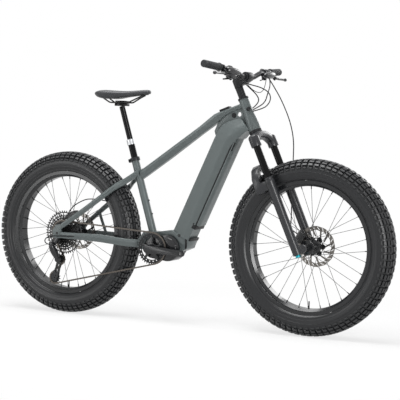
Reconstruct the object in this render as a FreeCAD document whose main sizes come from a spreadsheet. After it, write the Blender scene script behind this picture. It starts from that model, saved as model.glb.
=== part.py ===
import FreeCAD, Part
import math
import os
import re
import Sketcher

# A hardtail fat tyre bike with a motor, a suspension fork and a dropper seat post.
# Millimetres; +X is forward, +Y is the rider's left, +Z is up, and the tyres stand on Z = 0.

doc = FreeCAD.newDocument("FatBike")
V = FreeCAD.Vector
sheet = doc.addObject("Spreadsheet::Sheet", "Sizes")

SIZES = (
    ("wheel_base", 1252.6), ("tyre_radius", 385), ("tyre_width", 112), ("tread_flat", 40), ("tyre_wall", 5),
    ("rim_width", 80), ("rim_edge", 291.8), ("rim_bed", 279.2), ("rim_well", 268.8), ("rim_sheet", 2.8),
    ("valve_radius", 3), ("valve_bore", 1.2), ("valve_length", 34),
    ("spoke_count", 32), ("spoke_radius", 1), ("nipple_radius", 2.2), ("nipple_length", 12), ("spoke_stop", 253.4),
    ("front_width", 150), ("front_axle_radius", 7.5), ("rear_width", 197), ("rear_axle_radius", 6),
    ("flange_radius", 33), ("flange_sheet", 3), ("hub_barrel", 19),
    ("running_gap", 0.05), ("side_gap", 0.2), ("rotor_radius", 90), ("rotor_track", 20), ("rotor_sheet", 1.8),
    ("front_rotor_at", 59), ("rear_rotor_at", 83), ("caliper_in", 62), ("caliper_out", 100),
    ("head_x", 349), ("head_z", 886), ("steer_tilt", 24), ("head_length", 148), ("head_low_radius", 28.5),
    ("head_top_radius", 22.5), ("head_bore", 17.5), ("low_cup", 12), ("top_cup", 8), ("steerer_radius", 14.3),
    ("steerer_bore", 11), ("crown_top", -12.5), ("leg_x", 19), ("leg_y", 87), ("shoulder_radius", 23.5),
    ("stanchion_radius", 16), ("stanchion_bore", 13), ("stanchion_foot", -340), ("leg_top", -240),
    ("leg_foot", -588), ("leg_radius", 21), ("leg_foot_radius", 19), ("fork_travel", 100),
    ("dropout_radius", 19), ("dropout_width", 20.8), ("arch_low", -178), ("arch_top", -154),
    ("stem_foot", 205), ("stem_head", 243), ("stem_radius", 18.5), ("bar_x", 57), ("bar_z", 233),
    ("bar_radius", 11.1), ("bar_centre_radius", 15.9), ("bar_half", 375), ("bar_bend_y", 125), ("bar_bend_x", 64),
    ("bar_bend_z", 252), ("bar_end_x", 53), ("bar_end_z", 277), ("grip_length", 124), ("grip_radius", 16),
    ("brake_y", 226), ("lever_drop", 38), ("lever_length", 125), ("lever_radius", 4.5), ("hose_radius", 2.5),
    ("seat_x", -165.7), ("seat_z", 415), ("seat_tilt", 17.2), ("seat_length", 350), ("seat_radius", 18),
    ("seat_bore", 15.9), ("sleeve_radius", 15.8), ("sleeve_foot", 105), ("sleeve_top", 412), ("post_radius", 13.2),
    ("post_foot", 275), ("post_top", 598), ("collar_radius", 18.5), ("collar_top", 437),
    ("rail_z", 1004), ("rail_y", 22), ("rail_radius", 3.5), ("saddle_nose", -192), ("saddle_tail", -466),
    ("saddle_top", 1064), ("top_tube_half", 21), ("tube_wall", 3), ("down_x", -45), ("down_z", 426),
    ("down_tilt", 25.3), ("down_half", 45), ("down_back_half", 18), ("down_flank", 70), ("down_open", 100),
    ("down_length", 527), ("battery_foot", 80.5), ("battery_top", 526.5), ("battery_face", 122),
    ("hinge_radius", 3), ("hinge_at", 90), ("hinge_rise", 1.5),
    ("crank_x", -134), ("crank_z", 339), ("crank_length", 175), ("crank_dip", 3.5), ("crank_in", 95),
    ("crank_out", 108), ("spindle_radius", 12), ("pedal_radius", 7.14), ("motor_x", -58), ("motor_z", 344),
    ("motor_radius", 60), ("motor_crank_radius", 46), ("motor_half", 52), ("cradle_half", 40), ("rotor_can", 38),
    ("shaft_radius", 6), ("chain_pitch", 12.7), ("chain_y", -60.4), ("roller_radius", 3.6), ("plate_in", 1.2),
    ("plate_out", 2.55), ("plate_half", 4), ("ring_teeth", 36), ("cog_teeth", 28), ("guide_teeth", 12),
    ("tension_teeth", 14), ("cog_sheet", 1.8), ("cog_step", 3.65), ("guide_x", -636), ("guide_z", 258),
    ("tension_x", -666), ("tension_z", 168), ("cage_gap", 4.6), ("cage_sheet", 2), ("stay_end", -604),
    ("dropout_in", 98.7), ("dropout_out", 107),
)
for row, (word, value) in enumerate(SIZES, start=1):
    sheet.set(f"A{row}", word.replace("_", " "))
    sheet.set(f"B{row}", str(value))
    sheet.setAlias(f"B{row}", word)
doc.recompute()
d = sheet

RAKE = "((wheel_base / 2 - head_x) * cos(steer_tilt) - (head_z - tyre_radius) * sin(steer_tilt))"
REACH = "((wheel_base / 2 - head_x) * sin(steer_tilt) + (head_z - tyre_radius) * cos(steer_tilt))"
FRAMES = {
    "steering": ("head_x", "head_z", "-steer_tilt"),
    "seat": ("seat_x", "seat_z", "-seat_tilt"),
    "down": ("down_x", "down_z", "down_tilt"),
    "front": ("wheel_base / 2", "tyre_radius", None),
    "rear": ("-wheel_base / 2", "tyre_radius", None),
    "crank": ("crank_x", "crank_z", None),
    "motor": ("motor_x", "motor_z", None),
    "guide": ("guide_x", "guide_z", None),
    "tension": ("tension_x", "tension_z", None),
    "bike": (None, None, None),
}
TURNS = {"z": (V(0, 0, 1), 0), "y": (V(1, 0, 0), -90), "x": (V(0, 1, 0), 90)}
nodes = {}
made = []


def linked(text):
    """An expression with each size name read from the sheet."""
    return re.sub(r"(?<![\w.])(?!(?:sin|cos|tan|sqrt|atan)\b)([a-z][a-z_0-9]*)", r"Sizes.\1", text)


def add(kind, stem):
    """A new document object with a name of its own."""
    thing = doc.addObject(kind, f"{stem}_{len(made)}")
    made.append(thing)
    return thing


def bind(thing, prop, value):
    """Set a number, or bind an expression."""
    if isinstance(value, str):
        thing.setExpression(prop, linked(value))
    elif "." in prop:
        thing.setExpression(prop, repr(float(value)))
    else:
        setattr(thing, prop, value)


def seat_at(thing, at, along="z"):
    """Place a piece with its own Z axis along x, y or z."""
    axis, angle = TURNS[along]
    thing.Placement = FreeCAD.Placement(V(0, 0, 0), FreeCAD.Rotation(axis, angle))
    for letter, value in zip("xyz", at):
        if value != 0:
            bind(thing, f"Placement.Base.{letter}", value)
    return thing


def cyl(radius, height, at=(0, 0, 0), along="z"):
    thing = add("Part::Cylinder", "Round")
    bind(thing, "Radius", radius)
    bind(thing, "Height", height)
    return seat_at(thing, at, along)


def cone(radius, end_radius, height, at=(0, 0, 0), along="z"):
    thing = add("Part::Cone", "Taper")
    bind(thing, "Radius1", radius)
    bind(thing, "Radius2", end_radius)
    bind(thing, "Height", height)
    return seat_at(thing, at, along)


def box(length, width, height, at=(0, 0, 0)):
    thing = add("Part::Box", "Block")
    bind(thing, "Length", length)
    bind(thing, "Width", width)
    bind(thing, "Height", height)
    return seat_at(thing, at)


def cut(base, *tools):
    for tool in tools:
        thing = add("Part::Cut", "Cut")
        thing.Base = base
        thing.Tool = tool
        base = thing
    return base


def fuse(*pieces):
    thing = add("Part::MultiFuse", "Joined")
    thing.Shapes = list(pieces)
    thing.Refine = True
    return thing


def tube(radius, bore, height, at=(0, 0, 0), along="z"):
    return cut(cyl(radius, height, at, along), cyl(bore, height, at, along))


def feature(shape):
    thing = add("Part::Feature", "Formed")
    thing.Shape = shape
    return thing


def outline(plane, points):
    """A body with a closed straight-sided sketch, each corner bound to the sheet."""
    body = add("PartDesign::Body", "Body")
    support = [o for o in body.Origin.OriginFeatures if o.Role == plane][0]
    sketch = body.newObject("Sketcher::SketchObject", f"Sketch_{len(made)}")
    sketch.AttachmentSupport = [(support, "")]
    sketch.MapMode = "FlatFace"
    count = len(points)
    spots = [V(50 * math.cos(2 * math.pi * i / count), 50 * math.sin(2 * math.pi * i / count)) for i in range(count)]
    for i in range(count):
        sketch.addGeometry(Part.LineSegment(spots[i], spots[(i + 1) % count]))
    for i in range(count):
        sketch.addConstraint(Sketcher.Constraint("Coincident", i, 2, (i + 1) % count, 1))
    for i, point in enumerate(points):
        for kind, value, start in (("DistanceX", point[0], spots[i].x), ("DistanceY", point[1], spots[i].y)):
            k = sketch.addConstraint(Sketcher.Constraint(kind, -1, 1, i, 1, start))
            sketch.setExpression(f"Constraints[{k}]", linked(str(value)))
    return body, sketch


def turned(points, along="y"):
    """A ring turned about Y from corners given as (radius, place along the axis)."""
    body, sketch = outline("XZ_Plane", points)
    turn = body.newObject("PartDesign::Revolution", f"Turn_{len(made)}")
    turn.Profile = sketch
    turn.ReferenceAxis = (sketch, ["V_Axis"])
    turn.Angle = 360
    return seat_at(body, (0, 0, 0), along)


def plate(points, low, high, plane="xz"):
    """A straight-sided plate: corners in xz, xy or yz, thick from low to high."""
    role = {"xz": "XZ_Plane", "xy": "XY_Plane", "yz": "YZ_Plane"}[plane]
    body, sketch = outline(role, points)
    pad = body.newObject("PartDesign::Pad", f"Pad_{len(made)}")
    pad.Profile = sketch
    bind(pad, "Length", f"({high}) - ({low})")
    start = {"xz": (0, str(high), 0), "xy": (0, 0, str(low)), "yz": (str(low), 0, 0)}[plane]
    return seat_at(body, start)


def placed(frame, *pieces):
    """Pieces grouped and set in one of the bike's frames."""
    thing = add("Part::Compound", "Group")
    thing.Links = list(pieces)
    x, z, angle = FRAMES[frame]
    if angle is not None:
        thing.Placement = FreeCAD.Placement(V(0, 0, 0), FreeCAD.Rotation(V(0, 1, 0), 10))
        bind(thing, "Placement.Rotation.Angle", angle)
    if x is not None:
        bind(thing, "Placement.Base.x", x)
        bind(thing, "Placement.Base.z", z)
    return thing


def node(label, frame, *pieces):
    thing = placed(frame, *pieces)
    thing.Label = label
    nodes[label] = thing
    return thing


def rod(start, end, radius):
    """A round rod between two points."""
    return Part.makeCylinder(radius, (end - start).Length, start, end - start)


def bent(points, radius, bend=1000.0):
    """A round rod along straight runs joined by tangent arcs."""
    points = [V(*p) for p in points]
    edges = []
    last = points[0]
    for before, here, after in zip(points, points[1:], points[2:]):
        going = (here - before).normalize()
        leaving = (after - here).normalize()
        half = going.getAngle(leaving) / 2
        run = min((here - before).Length, (after - here).Length)
        reach = min(bend * math.tan(half), 0.45 * run)
        arc = reach / math.tan(half)
        start = here - going * reach
        end = here + leaving * reach
        middle = here + (leaving - going).normalize() * (arc / math.cos(half) - arc)
        edges.append(Part.LineSegment(last, start).toShape())
        edges.append(Part.Arc(start, middle, end).toShape())
        last = end
    edges.append(Part.LineSegment(last, points[-1]).toShape())
    spine = Part.Wire(edges)
    ring = Part.Wire(Part.Circle(points[0], points[1] - points[0], radius).toShape())
    return spine.makePipeShell([ring], True, False)


def flat(points, make):
    corners = [make(*p) for p in points]
    return Part.Face(Part.makePolygon(corners + corners[:1]))


def drawn_tube(side, plan, wall, rounding):
    """A hollow tube that fills a side outline (x, z) and a plan outline (x, y)."""
    def filled(inset):
        one = flat(side, lambda x, z: V(x, -300, z))
        two = flat(plan, lambda x, y: V(x, y, 0))
        if inset:
            one = one.makeOffset2D(-inset, 2)
            two = two.makeOffset2D(-inset, 2)
        return one.extrude(V(0, 600, 0)).common(two.extrude(V(0, 0, 1400)))
    whole = filled(0).Solids[0]
    along = [e for e in whole.Edges if e.Length > 8 and abs(e.tangentAt(e.FirstParameter).x) > 0.5]
    for share in (1, 0.7, 0.5, 0.3):
        try:
            soft = whole.makeFillet(rounding * share, along)
        except Part.OCCError:
            continue
        if soft.isValid() and len(soft.Solids) == 1:
            whole = soft
            break
    return whole.cut(filled(wall))


def mirrored(points):
    """The outline of one side followed by the other side."""
    return list(points) + [(r, f"-({y})") for r, y in reversed(points)]


# Wheels

HALF = "tyre_width / 2"
TYRE = (
    ("tyre_radius", "tread_flat / 2"), ("tyre_radius - 3", f"{HALF} - 26"), ("tyre_radius - 10.5", f"{HALF} - 16"),
    ("tyre_radius - 22", f"{HALF} - 8"), ("tyre_radius - 37", f"{HALF} - 2"), ("tyre_radius - 50", HALF),
    ("tyre_radius - 67", f"{HALF} - 2"), ("rim_edge + 9", f"{HALF} - 8"), ("rim_edge + 1.2", "rim_width / 2 + 2"),
    ("rim_edge + 0.5", "rim_width / 2 - 2.8"), ("rim_bed + 1.4", "rim_width / 2 - 2.8"),
    ("rim_bed + 1.4", "rim_width / 2 - 10"), ("rim_edge - 5", "rim_width / 2 - 9"),
    ("rim_edge + 4", "rim_width / 2 - 4"), ("tyre_radius - 82", f"{HALF} - 8 - tyre_wall"),
    ("tyre_radius - 67", f"{HALF} - 2.5 - tyre_wall"), ("tyre_radius - 51", f"{HALF} - tyre_wall - 0.5"),
    ("tyre_radius - 39", f"{HALF} - 2.5 - tyre_wall"), ("tyre_radius - 27", f"{HALF} - 8 - tyre_wall"),
    ("tyre_radius - 15.5", f"{HALF} - 17 - tyre_wall"), ("tyre_radius - 8", "tread_flat / 2 - 2"),
)
RIM = (
    ("rim_well", "rim_width / 2 - 23"), ("rim_bed", "rim_width / 2 - 13"), ("rim_bed + 1", "rim_width / 2 - 2.6"),
    ("rim_edge", "rim_width / 2 - 2.6"), ("rim_edge", "rim_width / 2"),
)
RIM_UNDER = (
    ("rim_bed - rim_sheet + 0.6", "rim_width / 2"), ("rim_bed - rim_sheet", "rim_width / 2 - 12"),
    ("rim_well - rim_sheet", "rim_width / 2 - 21.5"),
)


def ring_of(points):
    """A closed ring section from corners on one side, mirrored across the wheel's mid-plane."""
    return turned(mirrored(points))


def spokes(right, left):
    """Crossed spokes, each with its nipple, from the hub's two flanges to the rim."""
    count = int(d.spoke_count)
    pieces = []
    for k in range(count):
        side, i = (1, k // 2) if k % 2 else (-1, k // 2)
        lean = 1 if i % 2 else -1
        angle = 2 * math.pi * k / count
        root = angle + lean * 2 * math.pi * 3 / (count / 2)
        across = (left if side > 0 else right) + side * lean * d.flange_sheet / 2
        hub = d.flange_radius + d.spoke_radius + 0.15
        start = V(hub * math.cos(root), across, hub * math.sin(root))
        rim = d.spoke_stop + d.nipple_length
        end = V(rim * math.cos(angle), side * (8 + 2 * lean), rim * math.sin(angle))
        way = (end - start).normalize()
        neck = end - way * d.nipple_length
        shank = rod(start, neck + way * 2, d.spoke_radius)
        pieces.append(feature(shank.fuse(rod(neck, end, d.nipple_radius)).removeSplitter()))
    return pieces


def rotor(inner, at):
    """A brake rotor: a track ring on six arms about a carrier."""
    pieces = [tube("rotor_radius", "rotor_radius - rotor_track", "rotor_sheet", (0, at, 0), "y"),
              tube("26", inner, "rotor_sheet", (0, at, 0), "y")]
    arms = []
    for k in range(6):
        turn = math.radians(60 * k)
        lean = turn + math.radians(22)
        start = V(24.5 * math.cos(turn), 0, 24.5 * math.sin(turn))
        reach = d.rotor_radius - d.rotor_track + 1
        end = V(reach * math.cos(lean), 0, reach * math.sin(lean))
        side = V(0, 1, 0).cross((end - start).normalize()) * 4
        arm = Part.Face(Part.makePolygon([start + side, end + side, end - side, start - side, start + side]))
        arms.append(arm.extrude(V(0, d.rotor_sheet, 0)))
    joined = arms[0]
    for arm in arms[1:]:
        joined = joined.fuse(arm)
    spread = feature(joined)
    seat_at(spread, (0, at, 0))
    return fuse(pieces[0], pieces[1], spread)


def caliper(first, last, low, high, at):
    """A brake caliper straddling the rotor over an arc of the wheel, angles from +X towards +Z."""
    sweep = last - first
    base = V(0, low, 0)

    def wedge(radius, start, height, spare=0):
        piece = Part.makeCylinder(radius, height, V(0, 0, 0), V(0, 0, 1), sweep + 2 * spare)
        piece.rotate(V(0, 0, 0), V(0, 0, 1), -first - sweep - spare)
        piece.rotate(V(0, 0, 0), V(1, 0, 0), -90)
        piece.translate(V(0, start, 0))
        return piece
    body = wedge(d.caliper_out, base.y, high - low).cut(wedge(d.caliper_in, base.y - 1, high - low + 2, 5))
    slot = wedge(d.rotor_radius + 3, at - 0.4, d.rotor_sheet + 0.8, 5)
    return feature(body.cut(slot))


for end in ("front", "rear"):
    node(f"{end}_tyre", end, ring_of(TYRE))
    valve = cut(cyl("valve_radius", "valve_length", (0, 0, "rim_sheet - rim_well - 2")),
                cyl("valve_bore", 12, (0, 0, "rim_sheet - rim_well + valve_length - 14")))
    node(f"{end}_rim", end, fuse(ring_of(RIM + RIM_UNDER), valve))

FRONT_HUB = (
    ("front_axle_radius + running_gap", "-front_width / 2"), (13, "-front_width / 2"), (13, -52), (17, -41),
    ("flange_radius", -39.5), ("flange_radius", -36.5), ("hub_barrel", -33), ("hub_barrel", 28),
    ("flange_radius", 31.5), ("flange_radius", 34.5), ("hub_barrel", 38), ("hub_barrel", "front_rotor_at"),
    (15, "front_rotor_at"), (15, "front_rotor_at + 6"), (13, "front_rotor_at + 6"), (13, "front_width / 2"),
    ("front_axle_radius + running_gap", "front_width / 2"),
)
REAR_HUB = (
    ("rear_axle_radius + running_gap", -38.5), (16, -38.5), ("flange_radius", -34.5), ("flange_radius", -31.5),
    ("hub_barrel", -28), ("hub_barrel", 40), ("flange_radius", 43.5), ("flange_radius", 46.5), ("hub_barrel", 50),
    ("hub_barrel", "rear_rotor_at"), (15, "rear_rotor_at"), (15, "rear_rotor_at + 6"), (12, "rear_rotor_at + 6"),
    (12, "rear_width / 2 - side_gap"), ("rear_axle_radius + running_gap", "rear_width / 2 - side_gap"),
)
node("front_hub", "front", turned(FRONT_HUB))
node("rear_hub", "rear", turned(REAR_HUB))
node("front_spokes", "front", *spokes(-38, 33))
node("rear_spokes", "rear", *spokes(-33, 45))
node("front_rotor", "front", rotor("15", "front_rotor_at"))
node("rear_rotor", "rear", rotor("15", "rear_rotor_at"))
front_axle = fuse(cyl("front_axle_radius", "front_width + 2 * dropout_width + 0.4",
                      (0, "-front_width / 2 - dropout_width - 0.2", 0), "y"),
                  cyl(11, 6, (0, "front_width / 2 + dropout_width + 0.2", 0), "y"))
node("rear_axle", "rear",
     fuse(cyl("rear_axle_radius", "2 * dropout_out", (0, "-dropout_out", 0), "y"),
          cyl(11, 6, (0, "dropout_out", 0), "y")))

# Drive

def pitch_radius(teeth):
    return d.chain_pitch / (2 * math.sin(math.pi / teeth))


def chain_route():
    """The chain's tangent points and rollers, and where each wheel's tooth gaps lie."""
    stops = ((V(-d.wheel_base / 2, 0, d.tyre_radius), d.cog_teeth, 1), (V(d.crank_x, 0, d.crank_z), d.ring_teeth, 1),
             (V(d.tension_x, 0, d.tension_z), d.tension_teeth, 1), (V(d.guide_x, 0, d.guide_z), d.guide_teeth, -1))
    runs = []
    for (here, teeth, sense), (there, more, way) in zip(stops, stops[1:] + stops[:1]):
        gap = there - here
        slope = math.atan2(gap.z, gap.x) - math.asin((sense * pitch_radius(teeth) - way * pitch_radius(more)) / gap.Length)
        left = V(-math.sin(slope), 0, math.cos(slope))
        runs.append((here + left * sense * pitch_radius(teeth), there + left * way * pitch_radius(more)))
    rollers = []
    phases = []
    lead = 0.0
    for k in range(4):
        start, stop = runs[k]
        centre, teeth, sense = stops[(k + 1) % 4]
        length = (stop - start).Length
        way = (stop - start).normalize()
        if k == 3:
            teeth_angle = math.atan2((runs[0][0] - centre).z, (runs[0][0] - centre).x)
            reach = math.atan2((stop - centre).z, (stop - centre).x)
            wrap = (reach - teeth_angle) % (2 * math.pi)
            step = 2 * math.pi / teeth
            held = [teeth_angle + i * step for i in range(1, int(wrap / step) + 1)]
            spots = [centre + V(math.cos(a), 0, math.sin(a)) * pitch_radius(teeth) for a in held]
            first = start + way * lead
            gap = spots[-1] - first
            links = max(1, round(gap.Length / d.chain_pitch))
            rollers += [first + gap * (i / links) for i in range(links)]
            rollers += list(reversed(spots))
            phases.insert(0, teeth_angle)
            break
        while lead <= length:
            rollers.append(start + way * lead)
            lead += d.chain_pitch
        step = 2 * math.pi / teeth
        first = (lead - length) / d.chain_pitch * step
        a0 = math.atan2((stop - centre).z, (stop - centre).x)
        leave = runs[k + 1][0] - centre
        wrap = (sense * (a0 - math.atan2(leave.z, leave.x))) % (2 * math.pi)
        phases.append(a0 - sense * first)
        while first <= wrap:
            a = a0 - sense * first
            rollers.append(centre + V(math.cos(a), 0, math.sin(a)) * pitch_radius(teeth))
            first += step
        lead = (first - wrap) / step * d.chain_pitch
    return rollers, phases


def toothed(teeth, phase, low, high, bore):
    """A toothed plate with a tooth gap at the given angle."""
    pitch = pitch_radius(teeth)
    corners = []
    for k in range(int(teeth)):
        middle = phase + 2 * math.pi * k / teeth
        for radius, aside in ((pitch + 3, -5.2), (pitch, -4.2), (pitch - 4.2, -2.6),
                              (pitch - 4.2, 2.6), (pitch, 4.2), (pitch + 3, 5.2)):
            a = middle + aside / pitch
            corners.append(V(radius * math.cos(a), low, radius * math.sin(a)))
    face = Part.Face(Part.makePolygon(corners + corners[:1]))
    body = face.extrude(V(0, high - low, 0))
    return body.cut(Part.makeCylinder(bore, high - low + 2, V(0, low - 1, 0), V(0, 1, 0)))


ROLLERS, PHASES = chain_route()


def chain():
    """Two bands of side plates and the rollers between them."""
    count = len(ROLLERS)
    outer = []
    inner = []
    for i, spot in enumerate(ROLLERS):
        way = (ROLLERS[(i + 1) % count] - ROLLERS[i - 1]).normalize()
        left = V(-way.z, 0, way.x) * d.plate_half
        outer.append(spot + left)
        inner.append(spot - left)
    faces = [Part.Face(Part.makePolygon(side + side[:1])) for side in (outer, inner)]
    ring = faces[0].cut(faces[1])
    pieces = []
    for low in (d.chain_y - d.plate_out, d.chain_y + d.plate_in):
        band = ring.extrude(V(0, d.plate_out - d.plate_in, 0))
        band.translate(V(0, low, 0))
        pieces.append(feature(band))
    for spot in ROLLERS:
        pieces.append(feature(Part.makeCylinder(d.roller_radius, 2 * d.plate_in, V(spot.x, d.chain_y - d.plate_in, spot.z),
                                                V(0, 1, 0))))
    return pieces


node("chain", "bike", *chain())
COGS = (11, 13, 15, 17, 19, 22, 25, 28, 32, 36, 42, 50)
half_cog = d.cog_sheet / 2
stack = []
for k, teeth in enumerate(COGS):
    middle = d.chain_y + d.cog_step * (k - COGS.index(int(d.cog_teeth)))
    stack.append(feature(toothed(teeth, PHASES[0], middle - half_cog, middle + half_cog, 17)))
first_cog = d.chain_y - d.cog_step * COGS.index(int(d.cog_teeth)) - half_cog
last_cog = first_cog + d.cog_step * (len(COGS) - 1) + 2 * half_cog
lock = Part.makeCylinder(17, last_cog + d.rear_width / 2 - d.side_gap, V(0, d.side_gap - d.rear_width / 2, 0), V(0, 1, 0))
tail = Part.makeCylinder(15.5, -39 - last_cog, V(0, last_cog, 0), V(0, 1, 0))
freehub = lock.fuse(tail).cut(Part.makeCylinder(d.rear_axle_radius + d.running_gap, 90, V(0, -110, 0), V(0, 1, 0)))
node("cassette", "rear", *stack, feature(freehub))

ring_low = d.chain_y - half_cog
ring_plate = toothed(d.ring_teeth, PHASES[1], ring_low, ring_low + d.cog_sheet, 52)
node("chainring", "crank", feature(ring_plate))


def crank_arm(side):
    """One crank arm, from its boss on the spindle to the pedal thread, lying along +X before it is turned."""
    long = d.crank_length
    corners = [(-4, 17), (long - 6, 13), (long + 8, 10), (long + 14, 0), (long + 8, -10), (long - 6, -13), (-4, -17),
               (-15, -9), (-15, 9)]
    face = flat(corners, lambda x, z: V(x, d.crank_in, z))
    arm = face.extrude(V(0, d.crank_out - d.crank_in, 0))
    boss = Part.makeCylinder(18, d.crank_out - d.motor_half - 2, V(0, d.motor_half + 2, 0), V(0, 1, 0))
    arm = arm.fuse(boss).cut(Part.makeCylinder(d.pedal_radius, 40, V(long, d.crank_in - 5, 0), V(0, 1, 0)))
    if side < 0:
        arm = arm.mirror(V(0, 0, 0), V(0, 1, 0))
    else:
        arm.rotate(V(0, 0, 0), V(0, 1, 0), 180)
    arm.rotate(V(0, 0, 0), V(0, 1, 0), d.crank_dip)
    return arm


def spider():
    """Five arms that carry the chainring outside the motor, in front of the ring's outer face."""
    low = ring_low - 4
    hub = Part.makeCylinder(26, 4, V(0, low, 0), V(0, 1, 0))
    for k in range(5):
        turn = math.radians(72 * k + 18)
        way = V(math.cos(turn), 0, math.sin(turn))
        side = V(0, 1, 0).cross(way)
        corners = [side * 9, way * 60 + side * 5, way * 60 - side * 5, side * -9, side * 9]
        corners = [c + V(0, low, 0) for c in corners]
        hub = hub.fuse(Part.Face(Part.makePolygon(corners)).extrude(V(0, 4, 0)))
    return hub


spindle = Part.makeCylinder(d.spindle_radius, 2 * d.crank_out - 4, V(0, 2 - d.crank_out, 0), V(0, 1, 0))
boss_room = Part.makeCylinder(18, 200, V(0, -100, 0), V(0, 1, 0))
crank_pieces = [spindle, crank_arm(-1).cut(spindle), crank_arm(1).cut(spindle), spider().cut(boss_room)]
for k in range(5):
    turn = math.radians(72 * k + 18)
    spot = V(56 * math.cos(turn), ring_low - 5.5, 56 * math.sin(turn))
    crank_pieces.append(Part.makeCylinder(4, 1.5, spot, V(0, 1, 0)))
node("crank_set", "crank", *[feature(piece) for piece in crank_pieces])

PULLEY_Y = d.chain_y
for label, teeth, phase in (("guide", d.guide_teeth, PHASES[3]), ("tension", d.tension_teeth, PHASES[2])):
    wheel = toothed(teeth, phase, PULLEY_Y - 1, PULLEY_Y + 1, 3 + d.running_gap)
    boss = Part.makeCylinder(7, 2 * d.cage_gap - 0.6, V(0, PULLEY_Y - d.cage_gap + 0.3, 0), V(0, 1, 0))
    boss = boss.cut(Part.makeCylinder(3 + d.running_gap, 40, V(0, PULLEY_Y - 20, 0), V(0, 1, 0)))
    node(f"{label}_pulley", label, feature(wheel.fuse(boss)))

swing = V(d.tension_x - d.guide_x, 0, d.tension_z - d.guide_z)
along = V(swing.x, 0, swing.z).normalize()
aside = V(-along.z, 0, along.x)


def cage_plate(low):
    corners = [aside * -13, along * -9 + aside * -9, along * -13, along * -9 + aside * 9, aside * 13,
               swing + aside * 11, swing + along * 8 + aside * 8, swing + along * 11, swing + along * 8 - aside * 8,
               swing - aside * 11]
    corners = [c + V(0, low, 0) for c in corners]
    return Part.Face(Part.makePolygon(corners + corners[:1])).extrude(V(0, d.cage_sheet, 0))


cage_low = d.chain_y - d.cage_gap - d.cage_sheet
cage = cage_plate(cage_low).fuse(cage_plate(d.chain_y + d.cage_gap))
for spot in (V(0, 0, 0), swing):
    cage = cage.fuse(Part.makeCylinder(3, 2 * d.cage_gap + 2 * d.cage_sheet, spot + V(0, cage_low, 0), V(0, 1, 0)))
node("derailleur_cage", "guide", feature(cage.removeSplitter()))

hanger = plate((("stay_end - 36", 361.8), ("stay_end - 12", 361.8), ("stay_end - 32", 328), ("stay_end - 46", 318),
                ("stay_end - 58", 322), ("stay_end - 58", 338)), "-dropout_out", "-dropout_in")
HANG = V(d.stay_end - 47, 0, 330)
b_knuckle = Part.makeCylinder(11, 15, V(HANG.x, -d.dropout_out - 15, HANG.z), V(0, 1, 0))
knuckle_low = cage_low - 0.4 - 22
p_knuckle = Part.makeCylinder(14, 22, V(d.guide_x, knuckle_low, d.guide_z), V(0, 1, 0))
links = []
for shift in (V(-7, 0, 2), V(7, 0, -2)):
    start = V(HANG.x, -d.dropout_out - 8, HANG.z - 12) + shift
    links.append(rod(start, V(d.guide_x, knuckle_low + 11, d.guide_z + 8) + shift, 5.5))
mech = b_knuckle.fuse(p_knuckle).fuse(links[0]).fuse(links[1])
mech = mech.cut(Part.makeCylinder(15, 20, V(d.guide_x, knuckle_low + 22, d.guide_z), V(0, 1, 0)))
node("derailleur_body", "bike", hanger, feature(mech))

# Frame

head_core = fuse(cyl("head_low_radius", 30), cone("head_low_radius", "head_top_radius", 65, (0, 0, 30)),
                 cyl("head_top_radius", "head_length - 95", (0, 0, 95)))
head_tube = cut(head_core, cyl("head_bore", "head_length"), cyl(26.2, "low_cup"),
                cyl(20.8, 10, (0, 0, "head_length - 10")))
node("head_tube", "steering", head_tube)
head_solid = placed("steering", head_core)

cradle_side = (("seat_x - 56.3", 340), ("seat_x - 56.3", 375), ("seat_x - 34.3", 398), ("seat_x - 24.3", 414),
               ("seat_x + 28.7", 412), (-63, 424), ("down_x", "down_z"),
               ("down_x + 118 * cos(down_tilt)", "down_z - 118 * sin(down_tilt)"), (55, 345), (25, 318), (0, 318),
               ("motor_x", "motor_z"), ("crank_x", "crank_z"), (-180, 325))
cradle_block = plate(cradle_side, "-cradle_half", "cradle_half")


def motor_hull(grow):
    """The motor's outline: two circles and the band between them."""
    one = V(d.crank_x, 0, d.crank_z)
    two = V(d.motor_x, 0, d.motor_z)
    small = d.motor_crank_radius + grow
    large = d.motor_radius + grow
    gap = two - one
    lean = math.acos((small - large) / gap.Length)
    base = math.atan2(gap.z, gap.x)
    half = d.motor_half + (5 if grow else 0)
    corners = []
    for sign in (1, -1):
        a = base + sign * lean
        way = V(math.cos(a), 0, math.sin(a))
        pair = [one + way * small, two + way * large]
        corners += pair if sign > 0 else list(reversed(pair))
    corners = [c + V(0, -half, 0) for c in corners]
    solid = Part.Face(Part.makePolygon(corners + corners[:1])).extrude(V(0, 2 * half, 0))
    for spot, radius in ((one, small), (two, large)):
        solid = solid.fuse(Part.makeCylinder(radius, 2 * half, spot - V(0, half, 0), V(0, 1, 0)))
    return solid.removeSplitter()


cradle_core = cut(cradle_block, feature(motor_hull(0.3)))
node("motor_cradle", "bike", cradle_core)
housing = motor_hull(0)
housing = housing.cut(Part.makeCylinder(d.spindle_radius + d.running_gap, 300, V(d.crank_x, -150, d.crank_z), V(0, 1, 0)))
housing = housing.cut(Part.makeCylinder(d.rotor_can + 2, 60, V(d.motor_x, -30, d.motor_z), V(0, 1, 0)))
housing = housing.cut(Part.makeCylinder(d.shaft_radius + d.running_gap, 84, V(d.motor_x, -42, d.motor_z), V(0, 1, 0)))
COVER = (("14", "motor_half"), ("44", "motor_half"), ("48", "motor_half + 2"), ("44", "motor_half + 5"),
         ("14", "motor_half + 5"))
covers = [turned([(r, y if sign > 0 else f"-({y})") for r, y in COVER]) for sign in (1, -1)]
node("motor_housing", "bike", feature(housing), placed("motor", *covers))
node("motor_rotor", "motor", fuse(cyl("rotor_can", 50, (0, -25, 0), "y"), cyl("shaft_radius", 82, (0, -41, 0), "y")))

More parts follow.
